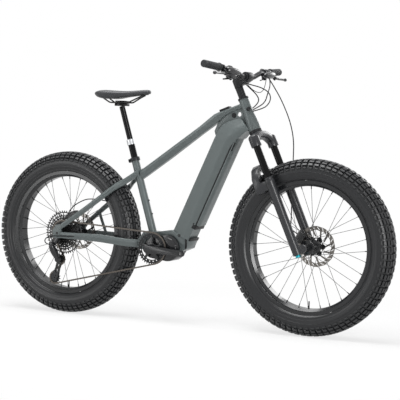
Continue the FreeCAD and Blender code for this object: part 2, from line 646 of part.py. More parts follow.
seat_solid = placed("seat", cyl("seat_radius", "seat_length + 10", (0, 0, -10)))
seat_wall = cut(cyl("seat_radius", "seat_length + 10", (0, 0, -10)), cyl("seat_bore", "seat_length + 20", (0, 0, -15)))
node("seat_tube", "bike", cut(placed("seat", seat_wall), cradle_block))

TOP_SIDE = [(-250, 678), (-209, 706), (75, 899), (149, 955), (200, 975), (268, 999), (296, 1009), (296, 985),
            (230, 965), (195, 945), (185, 930), (94.5, 869.5), (-66, 755.6), (-206, 662), (-240, 638)]
wide = d.top_tube_half
TOP_PLAN = [(-260, -16), (-190, -wide), (200, -wide), (310, -19), (310, 19), (200, wide), (-190, wide), (-260, 16)]
top_form = feature(drawn_tube(TOP_SIDE, TOP_PLAN, d.tube_wall, 9))
top_tube = cut(top_form, seat_solid, head_solid)
top_block = feature(flat(TOP_SIDE, lambda x, z: V(x, -60, z)).extrude(V(0, 120, 0)))

CHANNEL = [("down_open", "down_half"), ("down_flank", "down_half"), (0, "down_back_half")]
CHANNEL += [(0, "-down_back_half"), ("down_flank", "-down_half"), ("down_open", "-down_half")]
CHANNEL += [("down_open", "tube_wall - down_half"), ("down_flank + 0.8", "tube_wall - down_half"),
            ("tube_wall", "2.1 - down_back_half"), ("tube_wall", "down_back_half - 2.1"),
            ("down_flank + 0.8", "down_half - tube_wall"), ("down_open", "down_half - tube_wall")]
channel = plate(CHANNEL, "0", "down_length", "xy")
floor_plate = plate(CHANNEL[:6], "0", "4", "xy")
long = d.down_length
NECK = [(5, long), (8, long + 8), (28, long + 38), (75, long + 78), (140, long + 51), (126, long + 13), (122, long)]
wide = d.down_half


def neck():
    """The closed upper end of the down tube, drawn in to the head tube; x is across the tube, z along it."""
    def filled(inset):
        one = flat(NECK, lambda x, z: V(x, -60, z))
        two = flat([(wide, long - 20), (wide, long + 8), (26, long + 80), (-26, long + 80), (-wide, long + 8),
                    (-wide, long - 20)], lambda y, z: V(-10, y, z))
        if inset:
            one = one.makeOffset2D(-inset, 2)
            two = two.makeOffset2D(-inset, 2)
        return one.extrude(V(0, 120, 0)).common(two.extrude(V(200, 0, 0)))
    return filled(0).cut(filled(4))


down_group = placed("down", fuse(channel, floor_plate), feature(neck()))
node("down_tube", "bike", cut(down_group, head_solid))
neck_block = placed("down", feature(flat(NECK, lambda x, z: V(x, -60, z)).extrude(V(0, 120, 0))))
channel_block = placed("down", plate(CHANNEL[:6], "0", "down_length", "xy"))

web = plate(((150, 880), (180, 946), (240, 978), (300, 1000), (312, 925), (262, 905), (215, 870), (170, 820)), "-7", "7")
web = cut(web, top_block, neck_block, channel_block, head_solid, cyl(10.5, 40, (272, -20, 956), "y"),
          cyl(11, 40, (247, -20, 951), "y"))
node("top_tube", "bike", top_tube, web)


def stay_pair(side, plan, wall, rounding):
    right = drawn_tube(side, [(x, -y) for x, y in plan], wall, rounding)
    left = drawn_tube(side, plan, wall, rounding)
    return right, left


CHAIN_SIDE = [(d.stay_end, 391), (-395, 389), (-222, 372), (-222, 336), (-395, 354), (d.stay_end, 363)]
CHAIN_PLAN = [(-222, 42), (-240, 53), (-262, 74), (-290, 86), (-400, 92), (-530, 107), (d.stay_end, 110),
              (d.stay_end, 98.8), (-530, 89), (-400, 70), (-290, 64), (-262, 55), (-236, 30), (-222, 18)]
SEAT_SIDE = [(-242, 692.9), (-257.6, 682.5), (-606.4, 428.9), (-593.6, 411.1), (-242.4, 661.5), (-226, 673.3)]
SEAT_PLAN = [(-226, 22), (-300, 48), (-330, 78), (-480, 90), (-610, 111), (-610, 99), (-480, 72), (-330, 60), (-300, 30),
             (-226, 3)]
DROP = (("stay_end + 1", 410), ("stay_end + 4", 428), ("stay_end - 30", 424), ("stay_end - 50", 396),
        ("stay_end - 46", 362), ("stay_end", 362), ("stay_end", 391.3), ("stay_end + 1", 391.3))
stays = stay_pair(CHAIN_SIDE, CHAIN_PLAN, d.tube_wall, 5)
struts = stay_pair(SEAT_SIDE, SEAT_PLAN, d.tube_wall, 5)
drops = []
for low, high in (("-dropout_out", "-dropout_in"), ("dropout_in", "dropout_out")):
    drop = plate(DROP, low, high)
    hole = cyl("rear_axle_radius", 300, ("-wheel_base / 2", -150, "tyre_radius"), "y")
    drops.append(cut(drop, hole, feature(struts[0]), feature(struts[1])))
node("chainstays", "bike", feature(stays[0]), feature(stays[1]), *drops)
brace = rod(V(-514, 88, 474), V(-478, 90, 388), 7)
brace = brace.cut(struts[1]).cut(stays[1])
strut_group = placed("bike", feature(struts[0]), feature(struts[1]))
node("seatstays", "bike", cut(strut_group, seat_solid, top_block), feature(max(brace.Solids, key=lambda s: s.Volume)))

clamp = cut(fuse(cyl("seat_radius + 5", 16, (0, 0, "seat_length - 16")),
                 box(12, 16, 16, ("-seat_radius - 14", -8, "seat_length - 16"))),
            cyl("seat_radius", 40, (0, 0, "seat_length - 30")),
            box(20, 2, 20, ("-seat_radius - 16", -1, "seat_length - 18")))
bolt = cyl(2.5, 24, ("-seat_radius - 10", -12, "seat_length - 8"), "y")
node("seat_clamp", "seat", cut(clamp, cyl(2.5, 24, ("-seat_radius - 10", -12, "seat_length - 8"), "y")), bolt)
node("dropper_tube", "seat", cut(cyl("sleeve_radius", "sleeve_top - sleeve_foot", (0, 0, "sleeve_foot")),
                                 cyl("post_radius + running_gap", "sleeve_top - sleeve_foot - 10",
                                     (0, 0, "sleeve_foot + 10"))))
node("dropper_collar", "seat", tube("collar_radius", "post_radius + running_gap", "collar_top - sleeve_top",
                                    (0, 0, "sleeve_top")))

low_ring = tube(29, 19, "low_cup", (0, 0, "-low_cup"))
low_fit = tube(26.2, 20, "low_cup")
top_ring = tube(24, 18, "top_cup", (0, 0, "head_length"))
top_fit = tube(20.8, 19, 10, (0, 0, "head_length - 10"))
low_race = tube(20, "steerer_radius + running_gap", 8, (0, 0, 2))
top_race = tube(19, "steerer_radius + running_gap", 7, (0, 0, "head_length - 8"))
node("headset", "steering", fuse(low_ring, low_fit), fuse(top_ring, top_fit), low_race, top_race)

slope = math.degrees(math.atan2(999 - 955, 268 - 149))
unit = Part.makeBox(50, 30, 8, V(0, -15, 0))
unit = unit.makeFillet(3, [e for e in unit.Edges if abs(e.tangentAt(0).z) > 0.9])
unit = unit.cut(Part.makeCylinder(6.3, 4, V(38, 0, 5), V(0, 0, 1)))
button = Part.makeCylinder(6, 3.4, V(38, 0, 6), V(0, 0, 1))
for piece in (unit, button):
    piece.rotate(V(0, 0, 0), V(0, 1, 0), -slope)
    piece.translate(V(178, 0, 955 + (178 - 149) * 44 / 119 + 0.6))
node("control_unit", "bike", cut(feature(unit), top_block))
node("power_button", "bike", feature(button))

port = placed("steering", cut(feature(rod(V(10, -16, 96), V(21, -27, 96), 8)), cone("head_low_radius", "head_top_radius", 65, (0, 0, 30)),
                              cyl("head_top_radius", "head_length - 95", (0, 0, 95))))
gusset_port = cyl(10.8, 18, (247, -9, 951), "y")
bolts = [placed("seat", cyl(4, 4, ("seat_radius", 0, z), "x")) for z in (76, 140)]
stop_high = placed("down", box(30, "2 * (down_half - tube_wall)", 18, (88, "tube_wall - down_half", 60)))
stop_low = placed("down", box(18, 80, 14, (100.2, -40, 0)))
pin = placed("down", cyl("hinge_radius", "2 * (down_half - tube_wall)",
                         ("hinge_at", "tube_wall - down_half", "battery_foot + hinge_rise"), "y"))
node("frame_fittings", "bike", port, gusset_port, *bolts, stop_high, stop_low, pin)

node("rear_caliper", "rear", caliper(100, 143, 70, d.dropout_in - 0.3, d.rear_rotor_at))
rear_line = bent([(-690, 88, 476), (-672, 90, 500), (-640, 93, 520), (-600, 93, 538), (-560, 91, 542), (-513, 88, 540),
                  (-466, 84, 534.4)], d.hose_radius)
shift_line = bent([(-530, -110.4, 374), (-600, -114, 372), (-660, -118, 372), (-692, -116, 352), (-684, -114, 331),
                   (HANG.x - 11.6, -114, 330)], d.hose_radius)
node("rear_lines", "bike", feature(rear_line), feature(shift_line))

PACK = [(52, 30), (75, 38), (98, 38), (98, -38), (75, -38), (52, -30)]
COVER_SECTION = [(100.3, 44.7), (104, 44.7), ("battery_face", 32), ("battery_face", -32), (104, -44.7),
                 (100.3, -44.7), (100.3, -41.4), (97, -41.4), (97, 41.4), (100.3, 41.4)]
battery = fuse(plate(PACK, "battery_foot", "battery_top - 20", "xy"),
               plate(COVER_SECTION, "battery_foot", "battery_top", "xy"))
battery = cut(battery, cyl("hinge_radius + running_gap", "2 * down_half",
                           ("hinge_at", "-down_half", "battery_foot + hinge_rise"), "y"))
key = box(10, 4, 38, (106, -44, 450))
node("battery", "down", battery, cut(key, plate(COVER_SECTION, "battery_foot", "battery_top", "xy")))

# Fork and bars

crown_arm = plate(((-87, -32), (-26, "crown_top"), (26, "crown_top"), (87, -32), (87, -62), (40, -44), (-40, -44),
                   (-87, -62)), "leg_x - 20", "leg_x + 16", "yz")
crown = fuse(cyl(29, "crown_top + 45", (0, 0, -45)), crown_arm,
             *[cyl("shoulder_radius", 54, ("leg_x", y, -86)) for y in ("leg_y", "-leg_y")],
             cyl("steerer_radius", "stem_head - crown_top + 10", (0, 0, "crown_top - 10")))
crown = cut(crown, cyl("steerer_bore", "stem_head + 80", (0, 0, -60)),
            *[cyl("stanchion_radius", 50, ("leg_x", y, -90)) for y in ("leg_y", "-leg_y")])
node("fork_crown", "steering", crown)
node("stanchions", "steering", *[tube("stanchion_radius", "stanchion_bore", "-40 - stanchion_foot",
                                      ("leg_x", y, "stanchion_foot")) for y in ("leg_y", "-leg_y")])

legs = []
for sign, y in ((1, "leg_y"), (-1, "-leg_y")):
    legs.append(cone("leg_foot_radius", "leg_radius", "leg_top - leg_foot", ("leg_x", y, "leg_foot")))
    legs.append(cyl("leg_radius + 1.5", 16, ("leg_x", y, "leg_top - 16")))
    start = "front_width / 2 + 0.2" if sign > 0 else "-front_width / 2 - 0.2 - dropout_width"
    legs.append(cyl("dropout_radius", "dropout_width", (RAKE, start, f"-{REACH}"), "y"))
    legs.append(box(f"{RAKE} - leg_x", "dropout_width", 30, ("leg_x", start, f"-{REACH} - 14")))
    foot = "leg_y - 22" if sign > 0 else "-leg_y - 13"
    legs.append(box(50, 35, 40, ("leg_x - 62", foot, "leg_top - 40")))
arch = plate(((-100, -282), (-100, -214), (-72, "arch_top - 18"), (-40, "arch_top"), (40, "arch_top"),
              (72, "arch_top - 18"), (100, -214), (100, -282), (66, -282), (64, -214), (52, "arch_low - 8"),
              (30, "arch_low"), (-30, "arch_low"), (-52, "arch_low - 8"), (-64, -214), (-66, -282)), "leg_x - 74", "leg_x - 42", "yz")
tab = box(40, 14, 50, ("leg_x - 46", 67.3, -552))
lowers = fuse(*legs, arch, tab)
bores = [cyl("stanchion_radius + running_gap", "-stanchion_foot + fork_travel + 20 + leg_top + 3",
             ("leg_x", y, "stanchion_foot - fork_travel - 20")) for y in ("leg_y", "-leg_y")]
bores.append(cyl("front_axle_radius", 300, (RAKE, -150, f"-{REACH}"), "y"))
bores.append(cyl(7.3, 14, ("leg_x", "-leg_y", "leg_foot - 1")))
seals = [tube("leg_radius - 1", "stanchion_radius + running_gap", 10, ("leg_x", y, "leg_top"))
         for y in ("leg_y", "-leg_y")]
node("fork_lowers", "bike", placed("steering", cut(lowers, *bores), *seals), placed("front", front_axle))
node("rebound_knob", "steering", fuse(cyl(7, 13, ("leg_x", "-leg_y", "leg_foot")),
                                      cyl(11, 10, ("leg_x", "-leg_y", "leg_foot - 10.4"))))
node("front_caliper", "front", caliper(130, 172, 46, 67, d.front_rotor_at))

spacers = [tube(17.5, "steerer_radius", 11.9, (0, 0, z)) for z in (157, 169, 181, 193)]
stem = fuse(cyl("stem_radius", "stem_head - stem_foot", (0, 0, "stem_foot")),
            box("bar_x", 34, 30, (0, -17, "stem_foot + 4")),
            cyl("bar_centre_radius + 5", 46, ("bar_x", -23, "bar_z"), "y"))
stem = cut(stem, cyl("steerer_radius", 80, (0, 0, "stem_foot - 20")), cyl("bar_centre_radius", 60, ("bar_x", -30, "bar_z"), "y"),
           box(40, 60, 60, ("bar_x + 2", -30, "bar_z - 30")))
face = cut(cyl("bar_centre_radius + 5", 46, ("bar_x", -23, "bar_z"), "y"), cyl("bar_centre_radius", 60, ("bar_x", -30, "bar_z"), "y"),
           box(42, 60, 60, ("bar_x - 39.5", -30, "bar_z - 30")))
cap = cyl(16, 4, (0, 0, "stem_head"))
node("stem", "steering", stem, face, cap, *spacers)


def on_bar(y):
    """The bar's centre line on its straight outer run."""
    share = (abs(y) - d.bar_bend_y) / (d.bar_half - d.bar_bend_y)
    return V(d.bar_bend_x + (d.bar_end_x - d.bar_bend_x) * share, y, d.bar_bend_z + (d.bar_end_z - d.bar_bend_z) * share)


def across_bar(y):
    return V(d.bar_bend_x, y, d.bar_bend_z)


tip = d.bar_half - 3
bar = bent([on_bar(-tip), across_bar(-d.bar_bend_y), (d.bar_x, -60, d.bar_z), (d.bar_x, 60, d.bar_z),
            across_bar(d.bar_bend_y), on_bar(tip)], d.bar_radius, 90)
sleeve = Part.makeCylinder(d.bar_centre_radius, 76, V(d.bar_x, -38, d.bar_z), V(0, 1, 0))
node("handlebar", "steering", feature(bar.fuse(sleeve)))
grips = []
for side in (-1, 1):
    start = side * (d.bar_half - d.grip_length)
    grip = rod(on_bar(start), on_bar(side * d.bar_half), d.grip_radius)
    grip = grip.fuse(rod(on_bar(start), on_bar(start + side * 5), d.grip_radius + 2.5))
    grips.append(feature(grip.cut(rod(on_bar(start - side * 5), on_bar(side * tip), d.bar_radius))))
node("grips", "steering", *grips)

DOWN = V(0.42, 0, -0.908).normalize()
AXIS = V(0.908, 0, 0.42).normalize()
UNDER = V(-0.25, 0, -0.97).normalize()


def bar_ring(y, width, radius):
    inner = rod(on_bar(y - width), on_bar(y + width), d.bar_radius)
    return rod(on_bar(y - width / 2), on_bar(y + width / 2), radius).cut(inner)


clamps = []
for side, label in ((-1, "right"), (1, "left")):
    spot = on_bar(side * d.brake_y)
    out = (on_bar(side * 300) - on_bar(side * 200)).normalize()
    pivot = spot + DOWN * d.lever_drop + out * 22
    body = rod(spot + DOWN * 25 - out * 32, spot + DOWN * 25 + out * 25, 9.5)
    body = body.fuse(rod(spot + DOWN * 25, spot + DOWN * 12.5, 7))
    for sign in (1, -1):
        body = body.fuse(rod(pivot + AXIS * sign * 5.3, pivot + AXIS * sign * 8.3, 7))
    body = body.cut(rod(pivot - AXIS * 5.3, pivot + AXIS * 5.3, 7.6))
    body = body.fuse(bar_ring(side * d.brake_y, 13, 15))
    body = body.cut(rod(on_bar(side * (d.brake_y - 30)), on_bar(side * (d.brake_y + 30)), d.bar_radius))
    pin = rod(pivot - AXIS * 8.3, pivot + AXIS * 8.3, 2.45)
    clamps.append(feature(body.fuse(pin)))
    blade = bent([pivot + out * 3, spot + DOWN * 46 + out * 55, spot + DOWN * 54 + out * d.lever_length], d.lever_radius, 60)
    blade = blade.fuse(rod(pivot - AXIS * 5, pivot + AXIS * 5, 6.5))
    tip_end = Part.makeSphere(d.lever_radius + 0.6, spot + DOWN * 54 + out * d.lever_length)
    blade = blade.fuse(tip_end).cut(rod(pivot - AXIS * 9, pivot + AXIS * 9, 2.5))
    node(f"brake_lever_{label}", "steering", feature(blade.removeSplitter()))
node("lever_clamps", "steering", *clamps)

shift_spot = on_bar(-168)
puck = rod(shift_spot + UNDER * 13, shift_spot + UNDER * 30, 17).fuse(bar_ring(-168, 11, 14.5))
puck = puck.cut(rod(on_bar(-140), on_bar(-195), d.bar_radius))
puck = puck.fuse(rod(shift_spot + UNDER * 29, shift_spot + UNDER * 44, 2.95))
post_spot = on_bar(176)
drop_puck = rod(post_spot + UNDER * 13, post_spot + UNDER * 24, 10).fuse(bar_ring(176, 9, 14.5))
drop_puck = drop_puck.cut(rod(on_bar(150), on_bar(200), d.bar_radius))
drop_puck = drop_puck.fuse(rod(post_spot + UNDER * 23, post_spot + UNDER * 30, 2.95))
pad_spot = on_bar(199)
FACE = V(-0.8, 0, 0.6)
AHEAD = V(0.97, 0, -0.25).normalize()
pad = rod(pad_spot + FACE * 12, pad_spot + FACE * 24, 13).fuse(bar_ring(199, 11, 14.5))
pad = pad.cut(rod(on_bar(175), on_bar(225), d.bar_radius))
for lift in (-6.5, 6.5):
    pad = pad.cut(rod(pad_spot + FACE * 20 + V(0, lift, 0), pad_spot + FACE * 26 + V(0, lift, 0), 4.3))
node("bar_controls", "steering", feature(puck), feature(drop_puck), feature(pad))
for label, lift in (("assist_up", -6.5), ("assist_down", 6.5)):
    node(label, "steering", feature(rod(pad_spot + FACE * 21.6 + V(0, lift, 0), pad_spot + FACE * 26 + V(0, lift, 0), 4)))


def paddle(spot, low, high, reach, thick):
    eye = rod(spot + UNDER * low, spot + UNDER * high, 7)
    arm = rod(spot + UNDER * (low + high) / 2 + reach * 0.1, spot + UNDER * (low + high) / 2 + reach, thick)
    return feature(eye.fuse(arm).cut(rod(spot + UNDER * (low - 5), spot + UNDER * (high + 5), 3)))


node("shift_lever_down", "steering", paddle(shift_spot, 30.4, 36.4, V(-40, 20, 10.3), 3))
node("shift_lever_up", "steering", paddle(shift_spot, 36.8, 42.8, V(-18, -36, 4.6), 3))
node("dropper_lever", "steering", paddle(post_spot, 24.4, 29.4, V(-30, 18, 7.7), 2.5))

tilt = math.radians(d.steer_tilt)


def in_steering(x, y, z):
    """A point of the bike given in the steering frame."""
    x, z = x - d.head_x, z - d.head_z
    return (x * math.cos(tilt) + z * math.sin(tilt), y, z * math.cos(tilt) - x * math.sin(tilt))


def lever_end(side):
    """The inner end of a brake lever's body, where its hose comes out."""
    out = (on_bar(side * 300) - on_bar(side * 200)).normalize()
    end = on_bar(side * d.brake_y) + DOWN * 25 - out * 32.4
    return [end, end - out * 10]


cable_ways = (
    [post_spot + UNDER * 18 + AHEAD * 10.4, post_spot + UNDER * 18 + AHEAD * 24, in_steering(372, 100, 1090),
     in_steering(391, 30, 1047), in_steering(394, 2, 1011), in_steering(372, -18, 989), in_steering(348, -27, 976)],
    [*lever_end(-1), V(82, -165, 222), in_steering(348, -100, 1084), in_steering(372, -30, 1040),
     in_steering(374, -14, 1008), in_steering(345, -23, 983)],
)
node("bar_cables", "steering", *[feature(bent([tuple(p) for p in way], d.hose_radius)) for way in cable_ways])
hose_way = [*lever_end(1), in_steering(350, 184, 1085), in_steering(380, 172, 1048), in_steering(412, 158, 1003),
            in_steering(457, 135, 927), in_steering(481, 124, 847), in_steering(484, 116, 767), in_steering(482, 112, 581),
            in_steering(484, 110, 500), in_steering(496, 76, 460), in_steering(515, 56, 449.3), in_steering(539.4, 56, 435.2)]
node("front_hose", "steering", feature(bent([tuple(p) for p in hose_way], d.hose_radius)))

# Saddle and its post

post = placed("seat", tube("post_radius", 10.5, "post_top - post_foot", (0, 0, "post_foot")))
post_x = d.seat_x - d.post_top * math.sin(math.radians(d.seat_tilt))
cradle_low = box(46, 58, 12, (post_x - 23, -29, "rail_z - rail_radius - 12.3"))
cradle_high = box(40, 58, 5, (post_x - 20, -29, "rail_z + rail_radius + 0.3"))
tie = box(14, 20, 8, (post_x - 7, -10, "rail_z - rail_radius - 0.5"))
node("dropper_post", "bike", fuse(post, cradle_low, cradle_high, tie))

STATIONS = ((d.saddle_tail, 48, -10, -18, -32), (-440, 66, -2, -16, -46), (-400, 68, -2, -18, -52),
            (-350, 50, -5, -20, -46), (-300, 31, -6, -20, -36), (-250, 21, -3, -16, -28), (-205, 18, 0, -12, -24),
            (d.saddle_nose, 11, -4, -12, -20))


def saddle_section(x, half, top, shoulder, skirt):
    """One section across the saddle: a crowned top, a drawn-in side and a hollow underneath."""
    top, shoulder, skirt = (d.saddle_top + v for v in (top, shoulder, skirt))
    lift = shoulder + (skirt - shoulder) * 0.45
    corners = [V(x, half, shoulder), V(x, 0, top), V(x, -half, shoulder)]
    under = [V(x, -half * 0.93, skirt), V(x, -half * 0.6, lift), V(x, half * 0.6, lift), V(x, half * 0.93, skirt)]
    edges = [Part.Arc(*corners).toShape()]
    chain_of = [corners[2]] + under + [corners[0]]
    edges += [Part.LineSegment(a, b).toShape() for a, b in zip(chain_of, chain_of[1:])]
    return Part.Wire(edges)


cover = Part.makeLoft([saddle_section(*s) for s in STATIONS], True)
node("saddle_cover", "bike", feature(cover))


def shell_section(x, half, top, shoulder, skirt):
    """The base shell's section, just under the cover."""
    lift = d.saddle_top + shoulder + (skirt - shoulder) * 0.45 - 0.8
    wide = half * 0.55
    corners = [V(x, wide, lift), V(x, -wide, lift), V(x, -wide, lift - 6), V(x, wide, lift - 6)]
    return Part.makePolygon(corners + corners[:1])


shell = Part.makeLoft([shell_section(*s) for s in STATIONS[1:-1]], True)
rails = []
for side in (-1, 1):
    y = side * d.rail_y
    rails.append(feature(bent([(-222, side * 10, 1038), (-250, side * 12, 1026), (-296, y, d.rail_z), (-395, y, d.rail_z),
                               (-432, side * 26, 1026)], d.rail_radius, 25)))
node("saddle_frame", "bike", cut(feature(shell), *rails), *rails)

doc.recompute()
bad = [o.Name for o in doc.Objects if "Invalid" in o.State or "Error" in o.State]
if bad:
    raise RuntimeError("not built: " + ", ".join(bad))
os.makedirs("parts", exist_ok=True)
for label, thing in nodes.items():
    if thing.Shape.isNull() or not thing.Shape.isValid():
        raise RuntimeError("shape not valid: " + label)
    thing.Shape.exportStep(f"parts/{label}.step")
print(len(nodes), "nodes,", sum(len(n.Shape.Solids) for n in nodes.values()), "solids")
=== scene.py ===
import math

import bmesh
import bpy
from mathutils import Matrix, Vector
from mathutils.bvhtree import BVHTree


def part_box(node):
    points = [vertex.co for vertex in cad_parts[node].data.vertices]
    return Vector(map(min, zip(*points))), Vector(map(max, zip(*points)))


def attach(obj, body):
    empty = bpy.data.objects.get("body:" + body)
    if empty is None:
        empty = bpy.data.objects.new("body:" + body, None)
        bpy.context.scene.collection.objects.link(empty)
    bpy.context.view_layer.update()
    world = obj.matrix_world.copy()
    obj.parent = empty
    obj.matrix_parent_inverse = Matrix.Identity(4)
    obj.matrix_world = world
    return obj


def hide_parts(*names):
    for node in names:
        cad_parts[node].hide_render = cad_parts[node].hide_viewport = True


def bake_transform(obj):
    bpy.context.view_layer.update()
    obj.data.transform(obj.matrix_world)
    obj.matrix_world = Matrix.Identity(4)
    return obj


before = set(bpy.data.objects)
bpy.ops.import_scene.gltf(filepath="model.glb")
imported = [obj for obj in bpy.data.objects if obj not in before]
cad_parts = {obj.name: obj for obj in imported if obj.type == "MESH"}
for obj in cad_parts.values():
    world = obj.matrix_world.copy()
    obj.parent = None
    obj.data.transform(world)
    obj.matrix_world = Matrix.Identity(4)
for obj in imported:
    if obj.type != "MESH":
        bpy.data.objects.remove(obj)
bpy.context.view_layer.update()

bl_info = {
    "name": "Fat tyre bike dressing",
    "version": (1, 0, 0),
    "blender": (4, 5, 0),
    "location": "3D View > Sidebar > Bike",
    "description": "Dresses the bike's CAD frame with tread, paint, chain, saddle, hoses and a studio",
    "category": "Object",
}

MM = 0.001
WHEELS = {"front": Vector((0.6263, 0.0, 0.385)), "rear": Vector((-0.6263, 0.0, 0.385))}
STEERING = Matrix.Translation((0.349, 0, 0.886)) @ Matrix.Rotation(math.radians(-24), 4, "Y")
DOWN_TUBE = Matrix.Translation((-0.045, 0, 0.426)) @ Matrix.Rotation(math.radians(25.3), 4, "Y")
ALONG_Y = Matrix.Rotation(math.radians(90), 4, "X")
CHAIN_PLANE = -60.4
SEAT_BASE = (-165.7, 0, 415)
SEAT_LEAN = -17.2
POST_ROOM = 16.5
SADDLE_TOP = 1064


# Sizes and colours that a user would change

class BikeSizes(bpy.types.PropertyGroup):
    """Sizes of the dressing, in millimetres unless a name says otherwise"""

    knob_height: bpy.props.FloatProperty(name="Knob height", description="How far a tread block stands up",
                                         default=9.0, min=2, max=9)
    knob_pitches: bpy.props.IntProperty(name="Knob pitches", description="Tread repeats round a tyre",
                                        default=80, min=40, max=110)
    rotor_holes: bpy.props.IntProperty(name="Rotor holes", description="Groups of holes round a brake rotor",
                                       default=24, min=12, max=36)
    edge: bpy.props.FloatProperty(name="Stem edge", description="Rounding of the stem's edges", default=1.2,
                                  min=0.2, max=3)
    hose: bpy.props.FloatProperty(name="Hose", description="Hose and housing diameter", default=5.0, min=3,
                                  max=6)


class BikeColours(bpy.types.PropertyGroup):
    """Colours as sRGB hex values"""

    paint: bpy.props.StringProperty(name="Frame paint", description="Grey-green metallic paint",
                                    default="#5a6161")
    black: bpy.props.StringProperty(name="Black parts", description="Anodised and painted black parts",
                                    default="#1b1c1e")
    rubber: bpy.props.StringProperty(name="Tyre rubber", description="Black tyre rubber", default="#1a1b1d")
    steel: bpy.props.StringProperty(name="Rotor steel", description="Ground stainless steel",
                                    default="#7f7b76")
    chain: bpy.props.StringProperty(name="Chain", description="Warm grey plated chain", default="#56514c")
    knob: bpy.props.StringProperty(name="Rebound knob", description="Teal anodised knob", default="#1c98a6")


# Materials

def linear(code):
    """An sRGB hex value as linear numbers, with a full alpha."""
    parts = [int(code[i:i + 2], 16) / 255 for i in (1, 3, 5)]
    return [c / 12.92 if c <= 0.04045 else ((c + 0.055) / 1.055) ** 2.4 for c in parts] + [1.0]


def node(tree, kind, inputs=None, **settings):
    """One node with its settings, its input values and its links."""
    made = tree.nodes.new(kind)
    for word, value in settings.items():
        setattr(made, word, value)
    for socket, value in (inputs or {}).items():
        if isinstance(value, bpy.types.NodeSocket):
            tree.links.new(value, made.inputs[socket])
        else:
            made.inputs[socket].default_value = value
    return made


# A surface's tone drifts over about 70 mm, and its roughness spreads this far each way
DRIFT_SCALE = 14.0
ROUGH_SPREAD = 0.06


def finish(name, code, rough, metal=0.0, grain=1.0, depth=0.05, mottle=0.12, **sockets):
    """A surface with fine grain in its relief and a slow drift in its colour; grain is in millimetres."""
    if name in bpy.data.materials:
        return bpy.data.materials[name]
    made = bpy.data.materials.new(name)
    made.use_nodes = True
    tree = made.node_tree
    tree.nodes.clear()
    where = node(tree, "ShaderNodeTexCoord").outputs["Object"]
    fine = node(tree, "ShaderNodeTexNoise", {"Vector": where, "Scale": 1000 / grain, "Detail": 3.0})
    slow = node(tree, "ShaderNodeTexNoise", {"Vector": where, "Scale": DRIFT_SCALE, "Detail": 2.0})
    colour = linear(code)
    darker = [c * (1 - mottle) for c in colour[:3]] + [1]
    lighter = [min(1, c * (1 + mottle)) for c in colour[:3]] + [1]
    tint = node(tree, "ShaderNodeMix", {0: slow.outputs["Fac"], 6: darker, 7: lighter}, data_type="RGBA")
    smoothest, roughest = max(0.05, rough - ROUGH_SPREAD), rough + ROUGH_SPREAD
    spread = node(tree, "ShaderNodeMapRange", {0: fine.outputs["Fac"], 3: smoothest, 4: roughest})
    bump = node(tree, "ShaderNodeBump", {"Height": fine.outputs["Fac"], "Strength": depth,
                                         "Distance": grain * MM * 0.5})
    inputs = {"Base Color": tint.outputs[2], "Metallic": metal, "Roughness": spread.outputs[0],
              "Normal": bump.outputs[0]}
    shader = node(tree, "ShaderNodeBsdfPrincipled", inputs)
    for socket, value in sockets.items():
        shader.inputs[socket.replace("_", " ")].default_value = value
    node(tree, "ShaderNodeOutputMaterial", {"Surface": shader.outputs[0]})
    return made


def colours():
    return bpy.context.scene.bike_colours


def sizes():
    return bpy.context.scene.bike_sizes


def paint():
    """Metallic paint under satin lacquer: an even, low sheen with a faint flake in its relief."""
    return finish("metallic_frame_paint", colours().paint, 0.3, 0.15, 0.6, 0.03, 0.05,
                  Specular_IOR_Level=0.3, Coat_Weight=0.1, Coat_Roughness=0.1)


def anodised():
    """Black anodised and bead-blasted aluminium: dull, with a soft broad shine."""
    return finish("black_anodised_aluminium", colours().black, 0.38, 0.0, 0.5, 0.05, 0.1,
                  Specular_IOR_Level=0.25)


def cast_black():
    """Painted black castings, a little glossier than the anodised parts."""
    return finish("black_painted_casting", colours().black, 0.2, 0.0, 0.8, 0.03, 0.1,
                  Specular_IOR_Level=0.45)


def fork_black():
    """Black paint on magnesium castings: a soft shine that shows the legs' roundness."""
    return finish("black_painted_magnesium", "#232427", 0.28, 0.0, 0.8, 0.03, 0.08, Specular_IOR_Level=0.45)


def gloss_black():
    """Hard-anodised sliding tubes: almost a mirror, in black."""
    return finish("black_slider_tube", "#050506", 0.1, 0.0, 0.4, 0.01, 0.05, Specular_IOR_Level=0.16)


def plastic():
    """Moulded black nylon with a fine leathery texture."""
    return finish("black_moulded_nylon", "#1c1d1e", 0.44, 0.0, 0.9, 0.1, 0.08, Specular_IOR_Level=0.2)


def rubber():
    """Tread rubber: matt, with a coarse grain and a tone that drifts a little."""
    return finish("black_tread_rubber", colours().rubber, 0.42, 0.0, 1.6, 0.1, 0.2, Specular_IOR_Level=0.5)


def wall_rubber():
    """Side-wall rubber, smooth from its mould, with a satin sheen."""
    return finish("black_sidewall_rubber", colours().rubber, 0.32, 0.0, 1.2, 0.06, 0.14,
                  Specular_IOR_Level=0.4)


def grip_rubber():
    """Soft grip rubber: the dullest of the blacks."""
    return finish("black_grip_rubber", "#2e2f30", 0.55, 0.0, 0.8, 0.12, 0.1, Specular_IOR_Level=0.25)


def steel():
    """Ground stainless steel of the rotors: bright, with a broad shine."""
    return finish("ground_stainless_steel", colours().steel, 0.32, 0.9, 0.5, 0.05, 0.06)


def dark_steel():
    """Black-oxide steel of cassette, spokes and small hardware: dark, with a metal's shine."""
    return finish("black_oxide_steel", "#262626", 0.32, 0.6, 0.5, 0.04, 0.12)


def chain_plate():
    """Plated chain links with an oily warm tone."""
    return finish("plated_chain_steel", colours().chain, 0.32, 0.85, 0.5, 0.04, 0.15)


def silver():
    """Bright anodised aluminium: pale and smooth, with soft reflections."""
    return finish("bright_anodised_aluminium", "#c4c6c8", 0.28, 0.9, 0.5, 0.03, 0.05)


